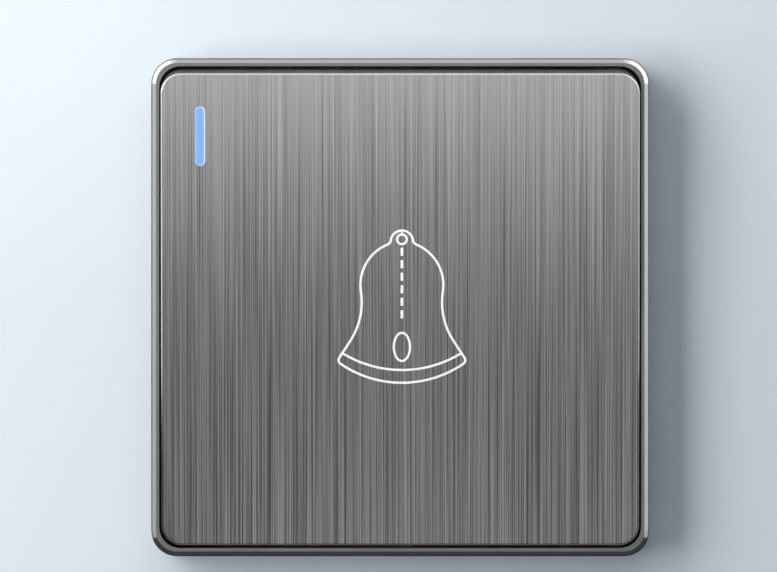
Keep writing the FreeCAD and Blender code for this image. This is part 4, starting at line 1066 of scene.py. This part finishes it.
class OBJECT_OT_push_fasteners(Operator):
    """Four cover screws and two terminal screws, with their threads"""
    bl_idname = "object.push_fasteners"
    bl_label = "Screws"

    def execute(self, context):
        settings = context.scene.push_fasteners
        self.cover_screws(settings)
        self.terminal_screws(settings)
        return {"FINISHED"}

    def cover_screws(self, settings):
        """Screws with a coarse thread and a cross recess, their heads to the front."""
        radius, height, rounding = 0.0024, 0.0015, 0.0007
        crest, point = 0.00145, 0.0012
        arm_length, arm_width, recess_depth, recess_taper = 0.0026, 0.00062, 0.0010, 0.45
        low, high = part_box("cover_screws")
        seat = low[1] + height
        bright, dull = (0.70, 0.70, 0.67), (0.54, 0.55, 0.55)
        thread = (settings.cover_pitch, settings.cover_depth, settings.steps)
        pattern = self.screw((radius, height, rounding), crest, high[1] - seat, point, *thread)
        for arm in ((arm_length, arm_width), (arm_width, arm_length)):
            combine(pattern, self.recess(arm, height, recess_depth, recess_taper), "DIFFERENCE")
        pattern.data.materials.append(plated("cover_screw_zinc", bright, dull, "cover_screws", 0.26, 0.0012))
        columns, rows = (low[0] + radius, high[0] - radius), (high[2] - radius, radius - high[2])
        corners = [(x, seat, z) for x in columns for z in rows]
        places = {f"cover_screw_{count}": place for count, place in enumerate(corners, 1)}
        self.set_out(pattern, "cover_screws", places, UPRIGHT)

    def terminal_screws(self, settings):
        """Screws with a fine thread and a slot, their heads down."""
        radius, height, rounding = 0.0027, 0.0022, 0.0003
        crest, point = 0.00148, 0.0004
        slot, slot_depth, slot_taper = (0.006, 0.00075), 0.00088, 1.0
        low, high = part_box("terminal_screws")
        seat = low[2] + height
        bright, dull = (0.72, 0.70, 0.64), (0.56, 0.54, 0.50)
        thread = (settings.terminal_pitch, settings.terminal_depth, settings.steps)
        pattern = self.screw((radius, height, rounding), crest, high[2] - seat, point, *thread)
        combine(pattern, self.recess(slot, height, slot_depth, slot_taper), "DIFFERENCE")
        pattern.data.materials.append(
            plated("terminal_screw_nickel", bright, dull, "terminal_screws", 0.24, 0.0010)
        )
        depth = centre_of("terminal_screws")[1]
        places = {
            "terminal_screw_left": (low[0] + radius, depth, seat),
            "terminal_screw_right": (high[0] - radius, depth, seat),
        }
        self.set_out(pattern, "terminal_screws", places, (math.pi, 0, 0))

    def set_out(self, pattern, node, places, turn):
        """Copies a screw to its named places, and removes the pattern."""
        for name, place in places.items():
            screw = copied(pattern, name, place, turn)
            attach(screw, "base")
            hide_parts(node)
        bpy.data.objects.remove(pattern)

    def screw(self, head, crest, length, point, pitch, depth, steps):
        """A screw along Z: its head above Z = 0, its threaded shank below, with a tapered point."""
        round_corners, foot_bevel, overlap, point_taper = 48, 0.0001, 0.0002, 0.5
        radius, height, rounding = head
        clear_selection()
        bpy.ops.mesh.primitive_cylinder_add(
            vertices=round_corners, radius=radius, depth=height, location=(0, 0, height / 2),
        )
        body = bpy.context.object
        bpy.ops.object.transform_apply()
        with editing(body, "EDGE", lambda corner: corner.z > height * 0.9):
            bpy.ops.mesh.bevel(offset=rounding, segments=5, affect="EDGES")
        with editing(body, "EDGE", lambda corner: corner.z < height * 0.02):
            bpy.ops.mesh.bevel(offset=foot_bevel, segments=2, affect="EDGES")

        root = crest - depth
        straight = length - point
        clear_selection()
        bpy.ops.mesh.primitive_cylinder_add(
            vertices=round_corners, radius=root, depth=straight + overlap,
            location=(0, 0, overlap / 2 - straight / 2),
        )
        shank = bpy.context.object
        bpy.ops.object.transform_apply()
        with editing(shank, "FACE", lambda corner: corner.z < -straight * 0.95):
            bpy.ops.mesh.extrude_region_move(TRANSFORM_OT_translate={"value": (0, 0, -point)})
            bpy.ops.transform.resize(value=(point_taper, point_taper, 1.0), center_override=(0, 0, -length))
        combine(body, shank, "UNION")

        turns = (straight - pitch) / pitch
        thread = winding(4, depth, root, turns, turns * pitch, 0, -straight + pitch * 0.3, steps)
        close_ends(thread)
        combine(body, thread, "UNION")
        outward(body)
        return body

    def recess(self, size, top, depth, taper):
        """A block that cuts a slot or one arm of a cross, narrower at its foot."""
        clear_selection()
        bpy.ops.mesh.primitive_cube_add(size=1.0, location=(0, 0, top))
        block = bpy.context.object
        block.scale = (size[0], size[1], depth * 2)
        bpy.ops.object.transform_apply()
        with editing(block, "FACE", lambda corner: corner.z < top):
            bpy.ops.transform.resize(value=(taper, taper, 1.0), center_override=(0, 0, top - depth))
        return block


class VIEW3D_PT_push(Panel):
    """Settings and steps of the doorbell push"""
    bl_label = "Doorbell Push"
    bl_idname = "VIEW3D_PT_push"
    bl_space_type = "VIEW_3D"
    bl_region_type = "UI"
    bl_category = "Doorbell"

    def draw(self, context):
        layout = self.layout
        for name in SETTINGS:
            box = layout.box()
            group = getattr(context.scene, name)
            for key in group.bl_rna.properties.keys():
                if key not in ("rna_type", "name"):
                    box.prop(group, key)
        for step in OPERATORS:
            layout.operator(step.bl_idname)


SETTINGS = {
    "push_studio": StudioSettings,
    "push_face": FaceSettings,
    "push_frame": FrameSettings,
    "push_lens": LensSettings,
    "push_module": ModuleSettings,
    "push_fasteners": FastenerSettings,
    "push_springs": SpringSettings,
}
OPERATORS = (
    OBJECT_OT_push_stage,
    OBJECT_OT_push_face,
    OBJECT_OT_push_frame,
    OBJECT_OT_push_lens,
    OBJECT_OT_push_yoke,
    OBJECT_OT_push_module,
    OBJECT_OT_push_contacts,
    OBJECT_OT_push_lamp,
    OBJECT_OT_push_springs,
    OBJECT_OT_push_fasteners,
)


def register():
    for name, kind in SETTINGS.items():
        bpy.utils.register_class(kind)
        setattr(bpy.types.Scene, name, PointerProperty(type=kind))
    for step in OPERATORS:
        bpy.utils.register_class(step)
    bpy.utils.register_class(VIEW3D_PT_push)


def unregister():
    bpy.utils.unregister_class(VIEW3D_PT_push)
    for step in reversed(OPERATORS):
        bpy.utils.unregister_class(step)
    for name, kind in reversed(SETTINGS.items()):
        delattr(bpy.types.Scene, name)
        bpy.utils.unregister_class(kind)


def main():
    register()
    make_groups()
    bpy.ops.object.push_stage()
    bpy.ops.object.push_face()
    bpy.ops.object.push_frame()
    bpy.ops.object.push_lens()
    bpy.ops.object.push_yoke()
    bpy.ops.object.push_module()
    bpy.ops.object.push_contacts()
    bpy.ops.object.push_lamp()
    bpy.ops.object.push_springs()
    bpy.ops.object.push_fasteners()


if __name__ == "__main__":
    main()
